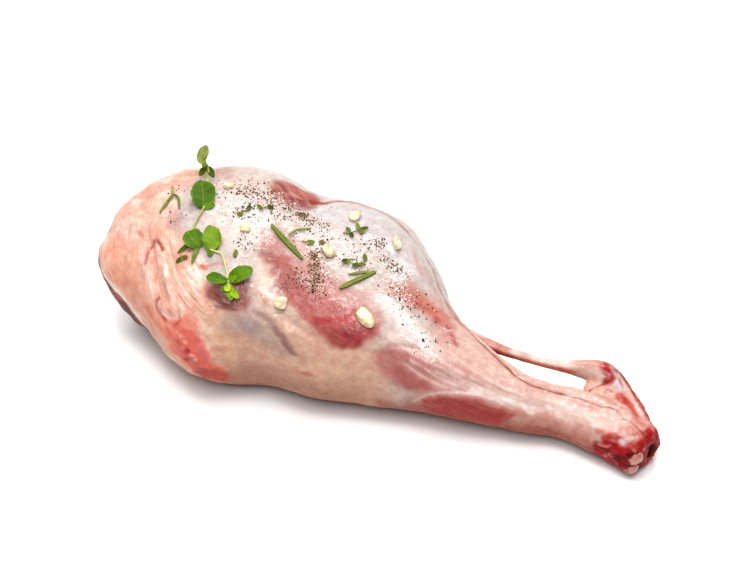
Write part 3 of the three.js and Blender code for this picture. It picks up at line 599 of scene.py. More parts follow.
# outline, softness of the edge, looseness, colour and share of each area with an edge of its own
areas = [
    # salmon fat, and the flesh that it runs into, with its knife edge
    ([(-206, 142), (-188, 132), (-172, 144), (-162, 152), (-150, 158), (-136, 162), (-120, 168),
      (-112, 196), (-136, 192), (-158, 182), (-176, 178), (-196, 172)], 9, 1.2, "#e3a085", 0.75),
    ([(-112, 141), (-98, 144), (-88, 142), (-78, 150), (-74, 166), (-74, 180), (-84, 174), (-94, 164),
      (-104, 154), (-114, 150)], 4, 1, "#cb9f83", 0.85),
    (fleshPlaces, 3.4, 1.5, tones["flesh"], 0.85),
    ([(-134, 170), (-122, 162), (-110, 158), (-100, 163), (-92, 172), (-86, 182), (-85, 194), (-98, 196),
      (-110, 188), (-124, 178)], 6, 1.1, tones["fleshDeep"], 0.6),
    ([(-108, 190), (-100, 184), (-88, 183), (-80, 188), (-82, 204), (-98, 204)], 4, 1, "#96382a", 0.75),
    # the pale fat along its outer edge
    ([(-158, 175), (-143, 179), (-130, 182.5), (-119.5, 188), (-110, 194), (-100, 204), (-112, 214),
      (-140, 204), (-160, 190)], 2.2, 0.8, "#cda58f", 0.85),
    # topside muscle: its veil, its neck and the lean that shows bare
    ([(-88, 88), (-74, 92), (-60, 97), (-46, 103), (-30, 108), (-12, 110), (2, 112), (14, 118), (16, 130),
      (8, 142), (-2, 147), (-20, 145), (-37, 138), (-53, 132), (-66, 124), (-76, 113), (-86, 103),
      (-96, 95)], 4.5, 1, tones["veil"], 0.9),
    ([(-96, 95), (-88, 88), (-74, 99), (-62, 109), (-50, 118), (-42, 125), (-50, 134), (-62, 128),
      (-73, 118), (-85, 107)], 3.2, 1.1, "#8f4039", 0.88),
    ([(-90, 98), (-78, 103), (-66, 114), (-55, 126), (-61, 127), (-72, 117), (-84, 106)], 2.6, 1.1,
      "#7a2a24", 0.55),
    ([(-54, 131), (-37, 138), (-20, 145), (-3, 147), (8, 141), (14, 131), (12, 122), (-2, 117), (-18, 118),
      (-36, 119), (-52, 119)], 3.2, 1.1, "#9d423a", 0.85),
    ([(-32, 137), (-18, 144), (-3, 146), (8, 140), (13, 131), (10, 124), (-4, 122), (-18, 127), (-28, 131)],
      4, 1.2, tones["lean"], 0.9),
    ([(-16, 142), (-4, 145), (6, 140), (9, 133), (0, 131), (-12, 134)], 4, 1.2, "#7b1418", 0.7),
    # the bare muscle at the far edge, and the brown skin beside it
    ([(-116, 66), (-114, 54), (-106, 44), (-92, 40), (-80, 50), (-78, 64), (-84, 72), (-96, 73),
      (-108, 71)], 3.2, 1.2, "#8f3e33", 0.92),
    ([(-106, 62), (-98, 52), (-88, 52), (-83, 62), (-88, 68), (-98, 67)], 3, 1.3, "#7b2722", 0.6),
    ([(-90, 66), (-86, 58), (-80, 60), (-78, 68), (-82, 74)], 3, 1, "#69311f", 0.6),
    # a dark red patch under and around the lower sprig, and the grey film over the round of the thigh
    ([(-107, 133), (-99, 127), (-88, 123), (-78, 123), (-72, 131), (-74, 139), (-82, 144), (-94, 142),
      (-103, 138)], 4.5, 1.2, "#7a3025", 0.95),
    ([(-103, 134), (-94, 130), (-84, 132), (-83, 140), (-91, 141), (-100, 138)], 3.5, 1, "#5c1f18", 0.75),
    ([(-90, 146), (-82, 142), (-74, 136), (-62, 138), (-48, 148), (-34, 158), (-30, 164), (-44, 166),
      (-62, 162), (-78, 158), (-86, 154)], 5, 1, "#a58a7e", 0.8),
    # the red muscle low on the shank
    ([(52, 181), (58, 170), (66, 160), (76, 151), (88, 148), (100, 146), (112, 147), (120, 154), (118, 172),
      (106, 196), (86, 204), (64, 200)], 3, 0.8, "#982c27", 0.92),
    ([(64, 176), (70, 164), (84, 156), (100, 155), (112, 160), (108, 176), (92, 184), (76, 186)], 5, 1,
      "#8c2a2a", 0.6),
    # the darker red along the shank's lower edge: red muscle, darkened as painted shade
    ([(22, 190), (50, 184), (62, 196), (110, 196), (150, 200), (150, 222), (30, 222)], 6, 1, "#873a2c",
      0.75),
    # the calf above it, seen through white sinew
    ([(18, 148), (24, 136), (36, 128), (52, 124), (72, 126), (92, 132), (106, 140), (92, 146), (76, 150),
      (62, 158), (52, 170), (38, 172), (24, 160)], 4.5, 1, "#a3625c", 0.9),
    ([(34, 152), (44, 144), (58, 145), (66, 152), (58, 162), (46, 170), (36, 164)], 5, 1, "#94423f", 0.7),
    ([(30, 132), (46, 128), (64, 130), (78, 135), (66, 139), (46, 137)], 4, 1, "#9a5450", 0.6),
    # raw hollow behind the knee
    ([(2, 90), (15, 80), (27, 73), (39, 66), (50, 64), (59, 73), (60, 84), (48, 88), (34, 92), (20, 98),
      (6, 99)], 4, 1, "#ad7162", 0.85),
    ([(14, 88), (26, 79), (38, 72), (48, 69), (53, 78), (44, 85), (30, 89)], 3.5, 1.1, "#a84f3f", 0.8),
    ([(50, 78), (56, 74), (64, 82), (69, 94), (63, 101), (55, 92)], 3, 1, "#9b3e3c", 0.75),
]
for outline, soft, loose, colour, share in areas:
    lay(share * region(outline, soft, loose), colour)

# x, side, half length, half width, turn, colour and share of each softer patch
patches = [
    # pink and pale places of the fat: the pale ones along its raised ridges are painted highlights, the
    # pinker ones in the hollows between them painted shade
    (-190, 122, 9, 6, 0, "#c9b6b0", 0.5), (-184, 109, 12, 6, 20, "#cf8770", 0.5),
    (-170, 118, 10, 5, 30, "#c97a64", 0.55), (-160, 147, 13, 3, 42, "#f2dccf", 0.6),
    (-141, 141, 14, 3, 45, "#f2dccf", 0.65), (-128, 139.5, 15, 2.2, 40, "#efd6c8", 0.5),
    (-114, 139, 13, 2, 38, "#ecd2c4", 0.5), (-154, 142, 13, 2.6, 44, "#d08872", 0.5),
    (-135, 139, 12, 2, 43, "#cf8b76", 0.45), (-192, 146, 10, 9, 10, "#dc9a80", 0.5),
    (-178, 160, 14, 7, 20, "#cd8267", 0.5), (-132, 154, 7, 3.6, -6, "#e2ab94", 0.8),
    (-152, 168, 12, 6, 25, "#bf5f4a", 0.6), (-168, 176, 12, 4, 30, "#c97d68", 0.6),
    # the two grey-mauve patches at (-157, 109) and (-146, 99) are painted shade in a dip of the fat
    (-140, 146, 9, 5, 40, "#c98571", 0.5), (-157, 109, 12, 7, 30, "#937e7c", 0.75),
    (-146, 99, 12, 7, 30, "#9b8a8e", 0.6), (-150, 113, 9, 4, 30, "#a5857a", 0.7),
    (-176, 84, 12, 5, 0, "#b97f70", 0.6), (-192, 92, 12, 9, 0, "#b67a6b", 0.7),
    (-166, 70, 20, 8, 0, "#a67c70", 0.7),
    # knots of fat and blood in the flesh
    (-116, 167, 2.2, 1.8, 0, "#e0a896", 0.85), (-112.5, 170, 1.8, 1.6, 0, "#dc9c8c", 0.7),
    (-120, 166, 1.8, 1.5, 0, "#dc9c8c", 0.6), (-107, 177, 2.6, 1.8, 20, "#dfa899", 0.85),
    (-104, 180, 2, 1.6, 0, "#e0ab9c", 0.8), (-110, 181, 1.8, 1.5, 0, "#db9f90", 0.6),
    (-143, 168, 12, 5, 12, "#df9272", 0.7), (-122, 172, 9, 5, 20, "#d97a60", 0.5),
    (-96, 172, 8, 6, 40, "#c45f5e", 0.65), (-104, 166, 7, 4, 30, "#cf6c60", 0.5),
    (-128, 166, 5, 2.4, 10, "#e3a48c", 0.6), (-112, 160, 5, 2, 0, "#e0a08a", 0.5),
    (-111, 175, 3.6, 2.4, 0, "#9c1214", 0.95), (-112, 181, 3.4, 2.4, 0, "#a01a18", 0.9),
    (-118, 172, 2.6, 2, 0, "#a82a20", 0.7), (-100, 185, 9, 3.5, 30, "#942a26", 0.5),
    (-120, 194, 10, 4, 10, "#a9402f", 0.6),
    # between the muscles of the thigh
    (-64, 112, 10, 4, 44, "#95524c", 0.6), (-44, 128, 12, 3.4, 14, "#8f3c38", 0.5),
    (-30, 128, 9, 3, 24, "#a8625a", 0.4), (-12, 141, 9, 3, 10, "#8f4a38", 0.5),
    (6, 124, 6, 4, 20, "#b56b64", 0.5), (-4, 108, 8, 4, 10, "#bb8a84", 0.6),
    (-92, 62, 6, 3.2, -20, "#6f1f1c", 0.7), (-104, 66, 4, 2.4, -20, "#b99a92", 0.6),
    (-101, 57, 7, 2.4, -25, "#bd8a7e", 0.6), (-94, 70, 5, 2.2, -10, "#c39a8c", 0.6),
    (-88, 54, 5, 2, -20, "#5f1a16", 0.8), (-108, 58, 5, 2, 0, "#6b201c", 0.8),
    (-97, 64, 5, 2.4, -20, "#641b18", 0.8), (-40, 155, 13, 2.8, 36, "#6d4a48", 0.75),
    (-56, 146, 12, 3, 34, "#84645f", 0.55), (-70, 150, 9, 6, 20, "#857678", 0.5),
    (-76, 160, 9, 6, 10, "#b98a74", 0.6), (-84, 168, 6, 3, 10, "#b5725c", 0.5),
    (-26, 174, 8, 2.4, 4, "#b5604e", 0.75), (-14, 166, 18, 8, 0, "#c69d83", 0.5),
    (-98, 156, 8, 4, 20, "#dcb9a2", 0.7), (-106, 76, 16, 7, 0, "#bd9184", 0.4),
    (-112, 92, 30, 16, 10, "#c3b5ae", 0.6), (-128, 76, 18, 8, 0, "#c6a79c", 0.5),
    (-60, 104, 18, 4, 8, "#bda79f", 0.5), (-72, 124, 7, 9, 0, "#cbab98", 0.7),
    (-78, 116, 6, 7, 30, "#cdb3a4", 0.6), (-62, 134, 8, 4, 20, "#c49a80", 0.7),
    # the knee and the shank
    # the near-white patches at (18, 108) and (40, 110) are a painted highlight on the pale top of the knee
    (18, 108, 16, 6, 12, "#ddd1cc", 0.8), (40, 110, 18, 5, 10, "#d9cbc5", 0.75),
    (24, 124, 10, 4, 10, "#cdb4ab", 0.6), (76, 122, 16, 3.4, -6, "#a86a63", 0.7),
    (100, 120, 14, 4, -10, "#b0786e", 0.6), (84, 112, 12, 3, 6, "#b27d73", 0.5),
    (56, 92, 16, 9, 0, "#b0807a", 0.6), (122, 152, 14, 4, 0, "#ad6553", 0.6),
    (146, 158, 20, 5, 0, "#b97563", 0.7), (168, 160, 10, 6, 0, "#ad5f4e", 0.6),
    (150, 128, 26, 9, 0, "#dcbbad", 0.7), (128, 118, 14, 6, 0, "#c9a094", 0.5),
    (134, 138, 16, 3, 0, "#e4ccbf", 0.7), (176, 118, 14, 7, 20, "#cfa99e", 0.6),
    (162, 104, 12, 4, 10, "#bb7163", 0.5), (158, 116, 7, 4, 10, "#b57f83", 0.4),
    # the far flap and its edge
    (-52, 52, 12, 4, 4, "#a97870", 0.6), (-20, 70, 14, 5, 0, "#b39a95", 0.4),
    (-46, 68, 36, 14, 0, "#b2b0b4", 0.6), (0, 72, 22, 9, 0, "#b3aeb0", 0.5),
    (28, 62, 14, 3, 0, "#a98a80", 0.6), (-30, 56, 26, 4, 4, "#b2aead", 0.6),
    (0, 54, 20, 4, 4, "#b4acab", 0.5), (-96, 12, 44, 14, 6, "#a5736a", 0.45),
    (-20, 8, 34, 12, -6, "#a06a62", 0.45), (-130, -12, 26, 12, 0, "#c9a692", 0.6),
    (-60, -24, 30, 9, 0, "#bf9c8a", 0.5), (10, -14, 26, 10, 0, "#9b6459", 0.5),
    (-150, 22, 14, 16, 10, "#cda793", 0.5), (44, 54, 8, 2.2, 20, "#a55a4c", 0.6),
    (12, 66, 8, 2, 30, "#a9746a", 0.5),
]
for at, place, long, wide, turn, colour, share in patches:
    lay(share * ease(patch(px, pside, scale, (at, place), (long, wide), turn), 0.05, 0.75), colour)

# how wet the skin is: most on top, least low on the sides; by the same share the colour is made paler, a
# painted sheen of the film
wetnessAndSheen = (0.1 + 0.7 * ease(normal[:, 2], 0.1, 0.75)) * (0.5 + 0.5 * ease(side, 55, 85))
tint += 0.025 * wetnessAndSheen[:, None]

streaks = [  # places, width, colour and share of the veins, seams and bands of white sinew
    (rows["vein"], 1.5, "#a3202a", 0.9),
    (rows["nick"], 1.5, "#8d1820", 0.95),
    ([(-180, 124), (-177, 125.5)], 1.3, "#b84a3e", 0.6),
    (rows["gash"], 1.5, "#a8241f", 0.9),
    ([(-139, 160.5), (-131, 161), (-124, 158), (-119.5, 153), (-123, 149)], 1.7, "#ecd2c2", 0.7),
    ([(-166, 195), (-150, 196), (-136, 193), (-124, 193), (-112, 197)], 2, tones["rimLine"], 0.6),
    ([(-124, 151), (-120, 158), (-124, 163)], 1.0, "#ad3d32", 0.7),
    ([(-119, 124), (-115, 124)], 1.4, "#99201f", 0.9),
    ([(-118, 125), (-108, 119), (-101, 117)], 0.9, "#bb7064", 0.7),
    # darker pink along the three fat folds: painted shade in their creases
    (rows["upperFold"], 1.3, "#c07d6c", 0.4),
    (rows["midFold"], 1.2, "#c08673", 0.4),
    (rows["longFold"], 1.3, "#c07868", 0.4),
    ([(-206, 163), (-198, 168), (-190, 172.5), (-183, 178), (-175, 186), (-166, 195), (-152, 206)], 2.4,
      tones["rimLine"], 0.95),
    ([(-98, 97), (-88, 106), (-78, 116), (-68, 127), (-56, 137)], 1.6, "#d6bcae", 0.6),
    ([(52, 75), (60, 84), (66, 92)], 1.3, "#85282a", 0.7),
    ([(4, 124), (12, 119), (16, 116)], 1.0, "#cfaca2", 0.6),
    ([(-20, 136), (-8, 133), (4, 131)], 0.8, "#ad6259", 0.4),
    ([(20, 84), (30, 80), (40, 75)], 0.9, "#c98e54", 0.3),
    ([(24, 90), (34, 84), (46, 78)], 0.8, "#8e2420", 0.5),
]
# pale fibres over the bare muscle at the far edge
for places in ([(-113, 54), (-103, 55), (-93, 60), (-86, 66)], [(-112, 60), (-102, 62), (-93, 67)],
               [(-100, 47), (-92, 50), (-84, 57)]):
    streaks.append((places, 1.3, "#c08a7e", 0.4))
# the white sinews of the shank, fanning out from the knee
for places in ([(32, 129), (56, 130), (75, 131), (93, 133), (107, 134)],
               [(50, 184), (58, 171), (66, 160), (78, 149), (91, 142), (105, 141), (117, 149)],
               [(62, 137), (79, 136), (97, 134), (114, 131)],
               [(40, 144), (52, 148), (67, 149), (85, 146), (102, 144)],
               [(65, 106), (82, 111), (97, 114), (116, 119), (134, 124)],
               [(70, 142), (92, 139), (116, 137), (136, 136)], [(44, 137), (60, 141), (76, 141)],
               [(84, 124), (104, 126), (128, 130)], [(30, 120), (54, 121), (80, 125)]):
    streaks += [(places, 0.8, "#e2cbc2", 0.5), (places, 2.6, "#cfaca1", 0.3)]
streaks += [([(-150, 36), (-110, 26), (-60, 24), (-10, 28), (30, 36)], 2.6, "#cbb4a8", 0.5),
            ([(-120, -2), (-70, -8), (-20, -4), (30, 6)], 2.4, "#c4a899", 0.5),
            ([(-78, 44), (-56, 30), (-40, 8)], 1.4, "#a8625a", 0.4)]
streaks += [([(88, 140), (108, 137), (126, 137)], 2.4, "#e0cdc6", 0.75),
            ([(150, 122), (168, 126), (184, 132)], 3, "#dcc6bd", 0.5)]
# the raw edge of the far flap
streaks += [([(-84, 50), (-66, 46.5), (-50, 46), (-34, 48), (-16, 50)], 3.8, "#7d2f25", 0.95),
            ([(-24, 50), (-8, 50), (4, 48), (20, 49), (36, 52), (52, 49)], 2, "#855a4b", 0.85)]
# the dark line that runs from the flap along the shank: painted shade in the crease between muscle and
# tendon, inside a paler red band
seam = [(53, 54), (67, 52), (80, 55), (95, 65), (110, 82), (123, 91), (134, 94), (144, 93)]
streaks += [(seam, 3.4, "#bb7460", 0.5), (seam[:5], 1.6, "#7a2a1c", 0.8), (seam, 0.9, "#5a1a0e", 0.85)]
for places, width, colour, share in streaks:
    lay(share * strip(places, width), colour)

# The tendon: pale above, raw along its lower edge, and the bloody heel and hock.
rawEdge = ease(-normal[:, 2] - 0.6 * normal[:, 1], -0.35, 0.3) * ease(-points[:, 0], -150, -135)
lay(onTendon, tones["tendonTop"])
lay(onTendon * rawEdge, tones["tendonLow"])
lay(onTendon * rawEdge * ease(-points[:, 0], -104, -84) * 0.8, "#7c1d17")
lay(atHock * ease(noise(points, 6, 42), -0.1, 0.5) * 0.5, "#b0564a")
# the blood's upper edge falls off away from the cut
bloodFrom = np.interp(points[:, 0], (172, 180, 188, 197), (174, 158, 138, 131))
blood = ease(side - bloodFrom + 13 * noise(points * (0.4, 1, 1), 4, 43), -3, 11)
blood *= ease(points[:, 0] + 4 * noise(points, 5, 44), 172, 180)
blood = np.maximum(blood, ease(points[:, 0] + 2 * noise(points, 5, 45), 206, 209))
blood *= ease(points[:, 0], 172, 180)
lay(blood, tones["blood"])
smear = points * (0.45, 1, 0.8) + 1.5 * noise(points, 6, 46)[:, None]
# size, seed, lowest and highest value, share and colour of what mottles it
for size, seed, low, high, share, colour in (
        (4, 47, 0.0, 0.5, 1, "#4c0408"), (3, 48, 0.1, 0.7, 0.7, "#a52229"),
        (2.6, 53, 0.42, 0.85, 0.55, "#c98478")):
    lay(blood * ease(noise(smear, size, seed), low, high) * share, colour)
bands = [  # a row of x, y, z, then radius, colour and share
    # the tendon's raw lower edge and the pale knob at its end
    ([(62, 24, 42), (76, 28, 39), (88, 31, 36)], 5, "#aa4c3e", 0.75),
    ([(60, 20, 37), (84, 28, 32), (100, 32, 30)], 5.5, "#86201a", 0.9),
    ([(98, 32, 30), (113, 36, 26.5), (130, 41, 24.5)], 5.5, "#b56a4c", 0.75),
    ([(130, 41, 25), (144, 43, 25), (154, 40, 27)], 6, "#c08a6e", 0.6),
    ([(142, 46, 33), (156, 49, 36)], 7.5, "#ad7a69", 0.8),
    ([(150, 51, 35), (158, 53, 34)], 4, "#b98272", 0.5),
    ([(152, 36, 27), (158, 38, 29.5)], 5, "#b9907a", 0.6),
    # the hock's side, from the web to the joint
    ([(156, 30, 28), (168, 33, 30), (178, 30, 29)], 6, "#bf8f7e", 0.8),
    ([(164, 24, 36), (178, 18, 39)], 5, "#ba7f6e", 0.7), ([(178, 3, 40), (190, 3, 37)], 7, "#cda699", 0.7),
    ([(182, 36, 31), (192, 29, 30.5), (201, 22, 30), (208, 15, 31)], 4.5, "#c58477", 0.85),
    ([(198, 2, 36), (207, 3, 33)], 4.5, "#bb6f62", 0.7),
    ([(192, 20, 34), (202, 13, 35)], 4, "#b9685a", 0.6),
    # blood: the heel, the streak down the far edge and the orange hollow beside it
    ([(159, 48.5, 37), (163, 46, 36.7)], 4.2, "#98040f", 0.98),
    ([(163, 45, 36), (168, 42.5, 35), (165, 40, 33)], 3.4, "#8a040c", 0.98),
    ([(158, 53, 34), (167, 52, 33), (176, 47.5, 33), (183, 43, 31.5), (188, 39, 30.8)], 3, "#860e18", 0.95),
    ([(186, 41, 31), (192, 36, 30), (201, 29, 28.8), (209, 22, 26.8), (215, 14, 27)], 2.6, "#8c1a18", 0.9),
    ([(178, 34, 29.5), (186, 30, 28.5), (193, 23, 31), (197, 18, 33.5)], 3.6, "#a82415", 0.85),
    ([(166, 50, 35.5), (170, 46.5, 35.6), (174, 43, 34.6), (178, 39.5, 33.4)], 1.5, "#5c070c", 0.75),
    ([(171, 41.2, 34), (176.4, 38, 32.4), (182, 35.5, 31)], 1.6, "#b8a5a8", 0.75),
    ([(177, 43, 33.5), (184, 38.5, 31.5), (192, 31.5, 30.5), (200, 25, 30)], 1.6, "#d6b3a8", 0.7),
    # vessels on the web
    ([(157, 29, 28.5), (162, 36, 29.7), (166, 40, 32)], 1.3, "#8a1716", 0.85),
    ([(160, 31, 29.4), (167, 35, 30.2), (172, 35, 31)], 1.1, "#951f1c", 0.8),
    ([(164, 38, 30.5), (168, 32, 30)], 1.1, "#9b2a24", 0.8),
    ([(155, 24, 32), (161, 31, 29.4)], 1.1, "#a03a30", 0.6),
    # the joint
    ([(178, -4, 37), (187, -3, 36), (195, -2, 35)], 1.6, "#d3aaa0", 0.5),
    ([(184, -9, 30), (190, -7, 33.5), (196, -7, 32.5)], 3.4, "#9a1a18", 0.85),
    ([(178, -8, 33), (186, -6, 35)], 2.6, "#b8503f", 0.7),
    ([(197, -7, 32), (201, -7, 31)], 2.4, "#c9b2b0", 0.8),
    ([(203, -7, 30), (211, 1, 30.4), (214, 7, 27)], 3.4, "#9a1713", 0.9),
    ([(216, 10, 24), (216, 13, 19)], 4, "#7b1110", 0.9),
    # a thin dark line from the seam of the flap to the joint: painted shade in the same crease
    ([(143.6, 3.4, 43.8), (157.6, 7.4, 41.8), (174, 9, 40.3), (181, 11, 39.5), (190, 8.7, 38.3),
      (198.6, 8.4, 36.8), (205.5, 5, 35.3), (211.5, 4.4, 31.7)], 0.9, "#6a160e", 0.85),
]
shaken = (points - middle + 0.3 * wander[:, [0, 1, 0]]).astype(np.float32)
broken = np.clip(0.75 + 0.7 * noise(points, 5, 56), 0.15, 1.1)  # thin lines fade in and out
for row, radius, colour, share in bands:
    low, high = np.min(row, 0) - 3 * radius, np.max(row, 0) + 3 * radius
    nearRow = np.flatnonzero(((shaken > low) & (shaken < high)).all(1))
    length = np.linalg.norm(np.diff(row, axis=0), axis=1).sum()
    line = alongRow(row, np.linspace(0, 1, 12 + int(2.5 * length / radius))).astype(np.float32)
    off = np.full(len(points), 1e6)
    off[nearRow] = ((shaken[nearRow, None] - line[None]) ** 2).sum(-1).min(1)
    lay(share * bell(off / radius ** 2) * (broken if radius < 2 else 1), colour)
# the cut face: the muscle's own dark red, darkened further as painted shade where it turns down and away from
# the light
lay(buttFace, tones["cutMuscleInShade"])
lay(buttFace * ease(-np.abs(noise(points * [1, 1, 1.6], 26, 41)), -0.12, -0.02), tones["cutSeam"])
lay(ease(points[:, 0], 206, 211) * ease(depth, -0.7, -0.2), "#8c201c")
# near black in the hollow of the joint: painted shade
lay(ease(depth, -0.15, 0.2), tones["pit"])
# small uneven colour all over, strongest in the red meat
reds = tint[:, 0] / (tint[:, 1] + tint[:, 2] + 0.02)
uneven = (0.1 + 0.1 * ease(reds, 0.8, 2)) * noise(points, 3.6, 49) + 0.08 * noise(points, 1.8, 50)
tint *= (1 + uneven)[:, None] ** [0.6, 1.3, 1.3]

# fibres show where it is red, and neither fat nor hock
muscle = ease(reds, 0.85, 2.2) * (1 - fat) * (1 - atHock)
raw = ease(-x, 72, 82) * ease(side, 138, 148)  # the flesh at the butt shows no fibres
muscle = muscle * (1 - raw) - 0.33 * raw
# the film is patchy, and thinner on the hock, the blood and the cut face
wet = 0.55 * wetnessAndSheen * (1 - 0.3 * atHock)
wet *= (0.85 + 0.3 * noise(points, 9, 55)) * (1 - 0.7 * blood) * (1 - 0.8 * buttFace)

legMeat = added("legMeat", skin)
zones = np.stack([muscle, fat * (1 - 0.9 * region(fleshPlaces, 4)), wet], -1)
carry(legMeat, tint=opaque(tint), grain=onlySkin(x, arc), folds=onlySkin(0.7 * (x + arc), arc - bend),
      zones=zones)
corners = np.empty(len(skin.loops), np.int32)
skin.loops.foreach_get("vertex_index", corners)
starts = np.empty(faceCount, np.int32)
skin.polygons.foreach_get("loop_start", starts)
legTree = BVHTree.FromPolygons(points.tolist(), [loop.tolist() for loop in np.split(corners, starts[1:])])
print("leg coloured")


def overLeg(place):
    # the point that stands above the leg's skin at x and y, and which way the skin faces there
    above = place[2] if len(place) > 2 else 0
    start = Vector((place[0] + middle[0], place[1] + middle[1], 200))
    hit, facing, _, _ = legTree.ray_cast(start, Vector((0, 0, -1)))
    return np.array(hit) + (0, 0, above), np.array(facing)


# Materials
def newMaterial(name):
    # an empty material, whose nodes are put in next
    global tree
    material = bpy.data.materials.new(name)
    material.use_nodes = True
    tree = material.node_tree
    tree.nodes.clear()
    return material


def put(kind, inputs=(), out=0, **settings):
    # adds a node with its settings, its values and its links, and gives one of its outputs, or several
    node = tree.nodes.new("ShaderNode" + kind)
    for name, value in settings.items():
        setattr(node, name, value)
    for socket, value in inputs.items() if isinstance(inputs, dict) else enumerate(inputs):
        if isinstance(value, bpy.types.NodeSocket):
            tree.links.new(value, node.inputs[socket])
        else:
            node.inputs[socket].default_value = value
    return node.outputs[out] if node.outputs else node


def rgba(hexColour):
    # the same colour as a node takes it
    return (*linear(hexColour), 1)


# settings that many nodes share
times, timesPlus = {"operation": "MULTIPLY"}, {"operation": "MULTIPLY_ADD"}
absolute, smooth = {"operation": "ABSOLUTE"}, {"interpolation_type": "SMOOTHSTEP"}
plain, overlay = {"data_type": "RGBA"}, {"data_type": "RGBA", "blend_type": "OVERLAY"}

# Raw lamb: muscle, fat and silverskin under one wet film. The film gives sharp small highlights, and light
# sinks a few millimetres into the flesh, which softens its shading.
lamb = {
    "flesh": {"Specular IOR Level": 0.06, "Subsurface Weight": 0.1, "Subsurface Radius": (1, 0.35, 0.22),
              "Subsurface Scale": 0.003, "Coat Roughness": 0.1},
    "foldValleyShade": "#cf7f68", "sinew": "#e0bdb2", "vessel": "#b9474a",
    "relief": 0.0011,  # how deep the finest relief is, in metres
}
material = newMaterial("rawLamb")
colour = put("Attribute", out="Color", attribute_name="tint")
grainNode = put("Attribute", out="Vector", attribute_name="grain")  # millimetres along and round
foldNode = put("Attribute", out="Vector", attribute_name="folds")
zonesNode = put("Attribute", out="Vector", attribute_name="zones")
muscleZone, fatZone, wetZone = put("SeparateXYZ", [zonesNode], slice(3))
objectNode = put("TexCoord", out="Object")
fibreSpace = put("Mapping", {"Vector": grainNode, "Scale": (0.07, 0.75, 1), "Rotation": (0, 0, -0.2)})
fibre = put("TexNoise", {"Vector": fibreSpace, "Scale": 1.0, "Detail": 4.0, "Roughness": 0.62})
mottle = put("TexNoise", {"Vector": objectNode, "Scale": 160.0, "Detail": 4.0, "Roughness": 0.6})
speck = put("TexNoise", {"Vector": objectNode, "Scale": 620.0, "Detail": 3.0, "Roughness": 0.6})
cells = put("TexVoronoi", {"Vector": objectNode, "Scale": 330.0}, feature="SMOOTH_F1")
fibreDepth = put("Math", (muscleZone, 0.36, 0.12), **timesPlus)
foldSpace = put("Mapping", {"Vector": foldNode, "Scale": (0.06, 0.42, 1)})
wrinkle = put("TexNoise", {"Vector": foldSpace, "Scale": 1.0, "Detail": 4.0, "Roughness": 0.6,
                           "Distortion": 0.3})
# the fat's wrinkles take colour from the noise of their own relief: the overlay lightens their ridges and
# darkens their valleys, and the valleys get a darker pink: painted highlight and shade
foldShare = put("Math", (fatZone, 0.22), **times)
shadedValley = put("Math", (put("MapRange", (wrinkle, 0.5, 0.36, 0.0, 0.6), **smooth), fatZone), **times)
# threads of white sinew over the muscle, and fine blood vessels in the membrane: the lines where a noise
# passes its middle value
threadSpace = put("Mapping", {"Vector": grainNode, "Scale": (0.02, 0.3, 1), "Rotation": (0, 0, 0.05)})
threads = put("TexNoise", {"Vector": threadSpace, "Scale": 1.0, "Detail": 4.0, "Distortion": 0.6})
vessels = put("TexNoise", {"Vector": objectNode, "Scale": 34.0, "Detail": 6.0, "Roughness": 0.55,
                           "Distortion": 0.8})
threadLine, vesselLine = (
    put("MapRange", (put("Math", [put("Math", (pattern, value), operation="SUBTRACT")], **absolute),
                     0.0, width, share, 0.0), **smooth)
    for pattern, value, width, share in ((threads, 0.5, 0.02, 0.1), (vessels, 0.53, 0.008, 0.32)))
threadShare = put("Math", (threadLine, muscleZone), **times)
for share, top, how in (  # the layers of colour, from the lowest to the highest
        (fibreDepth, fibre, overlay), (foldShare, wrinkle, overlay),
        (shadedValley, rgba(lamb["foldValleyShade"]), plain), (0.2, mottle, overlay), (0.22, speck, overlay),
        (threadShare, rgba(lamb["sinew"]), plain), (vesselLine, rgba(lamb["vessel"]), plain)):
    colour = put("Mix", {0: share, 6: colour, 7: top}, 2, **how)
# relief too fine for the mesh: fibres in the muscle, small curds in the fat, ripples in the film
height = put("Math", (fibre, fibreDepth), **times)
for pattern, share in ((put("Math", (wrinkle, fatZone), **times), 1.6),
                       (put("Math", (cells, fatZone), **times), 0.5), (mottle, 0.8), (speck, 0.3)):
    height = put("Math", (pattern, share, height), **timesPlus)
bump, filmBump = (put("Bump", {"Height": height, "Strength": strength, "Distance": lamb["relief"]})
                  for strength in (0.55, 0.25))
glints = put("TexNoise", {"Vector": objectNode, "Scale": 330.0, "Detail": 4.0, "Roughness": 0.7})
film = put("Math", (put("MapRange", (glints, 0.48, 0.64, 0.3, 3.4)), wetZone), use_clamp=True, **times)
dryness = put("MapRange", (mottle, 0.3, 0.7, 0.3, 0.5))
put("OutputMaterial", [put("BsdfPrincipled", {
    "Base Color": colour, "Roughness": dryness, "Normal": bump, "Coat Weight": film, "Coat Normal": filmBump,
    **lamb["flesh"],
})])
finishPiece(legMeat, material, "meat", "leg_meat")
print("leg finished")

# The shank bone
bone = {
    "root": (172, 8, 19, 6.5),
    "neck": (204, -4, 15, 7.6),
    "knuckles": [(206.5, -5.5, 19.6, 6.6), (205.5, -7, 9.5, 6)],  # x, y, z and radius
    "gristle": "#b97a6c", "stained": "#7e1f1d",
}
rootPlace, neckPlace = np.array(bone["root"]), np.array(bone["neck"])
shellsOfBone = [closedShell(tubeRings([rootPlace, (rootPlace + neckPlace) / 2, neckPlace], 60, 40, 0.15))]
shellsOfBone += [closedShell(ballRings((k[3],) * 3, 40, 48) + k[:3]) for k in bone["knuckles"]]
boneMesh, bonePoints = mergedSkin("boneRough", *joined(shellsOfBone), 0.6)
boneNormal = normalsOf(boneMesh, bonePoints)
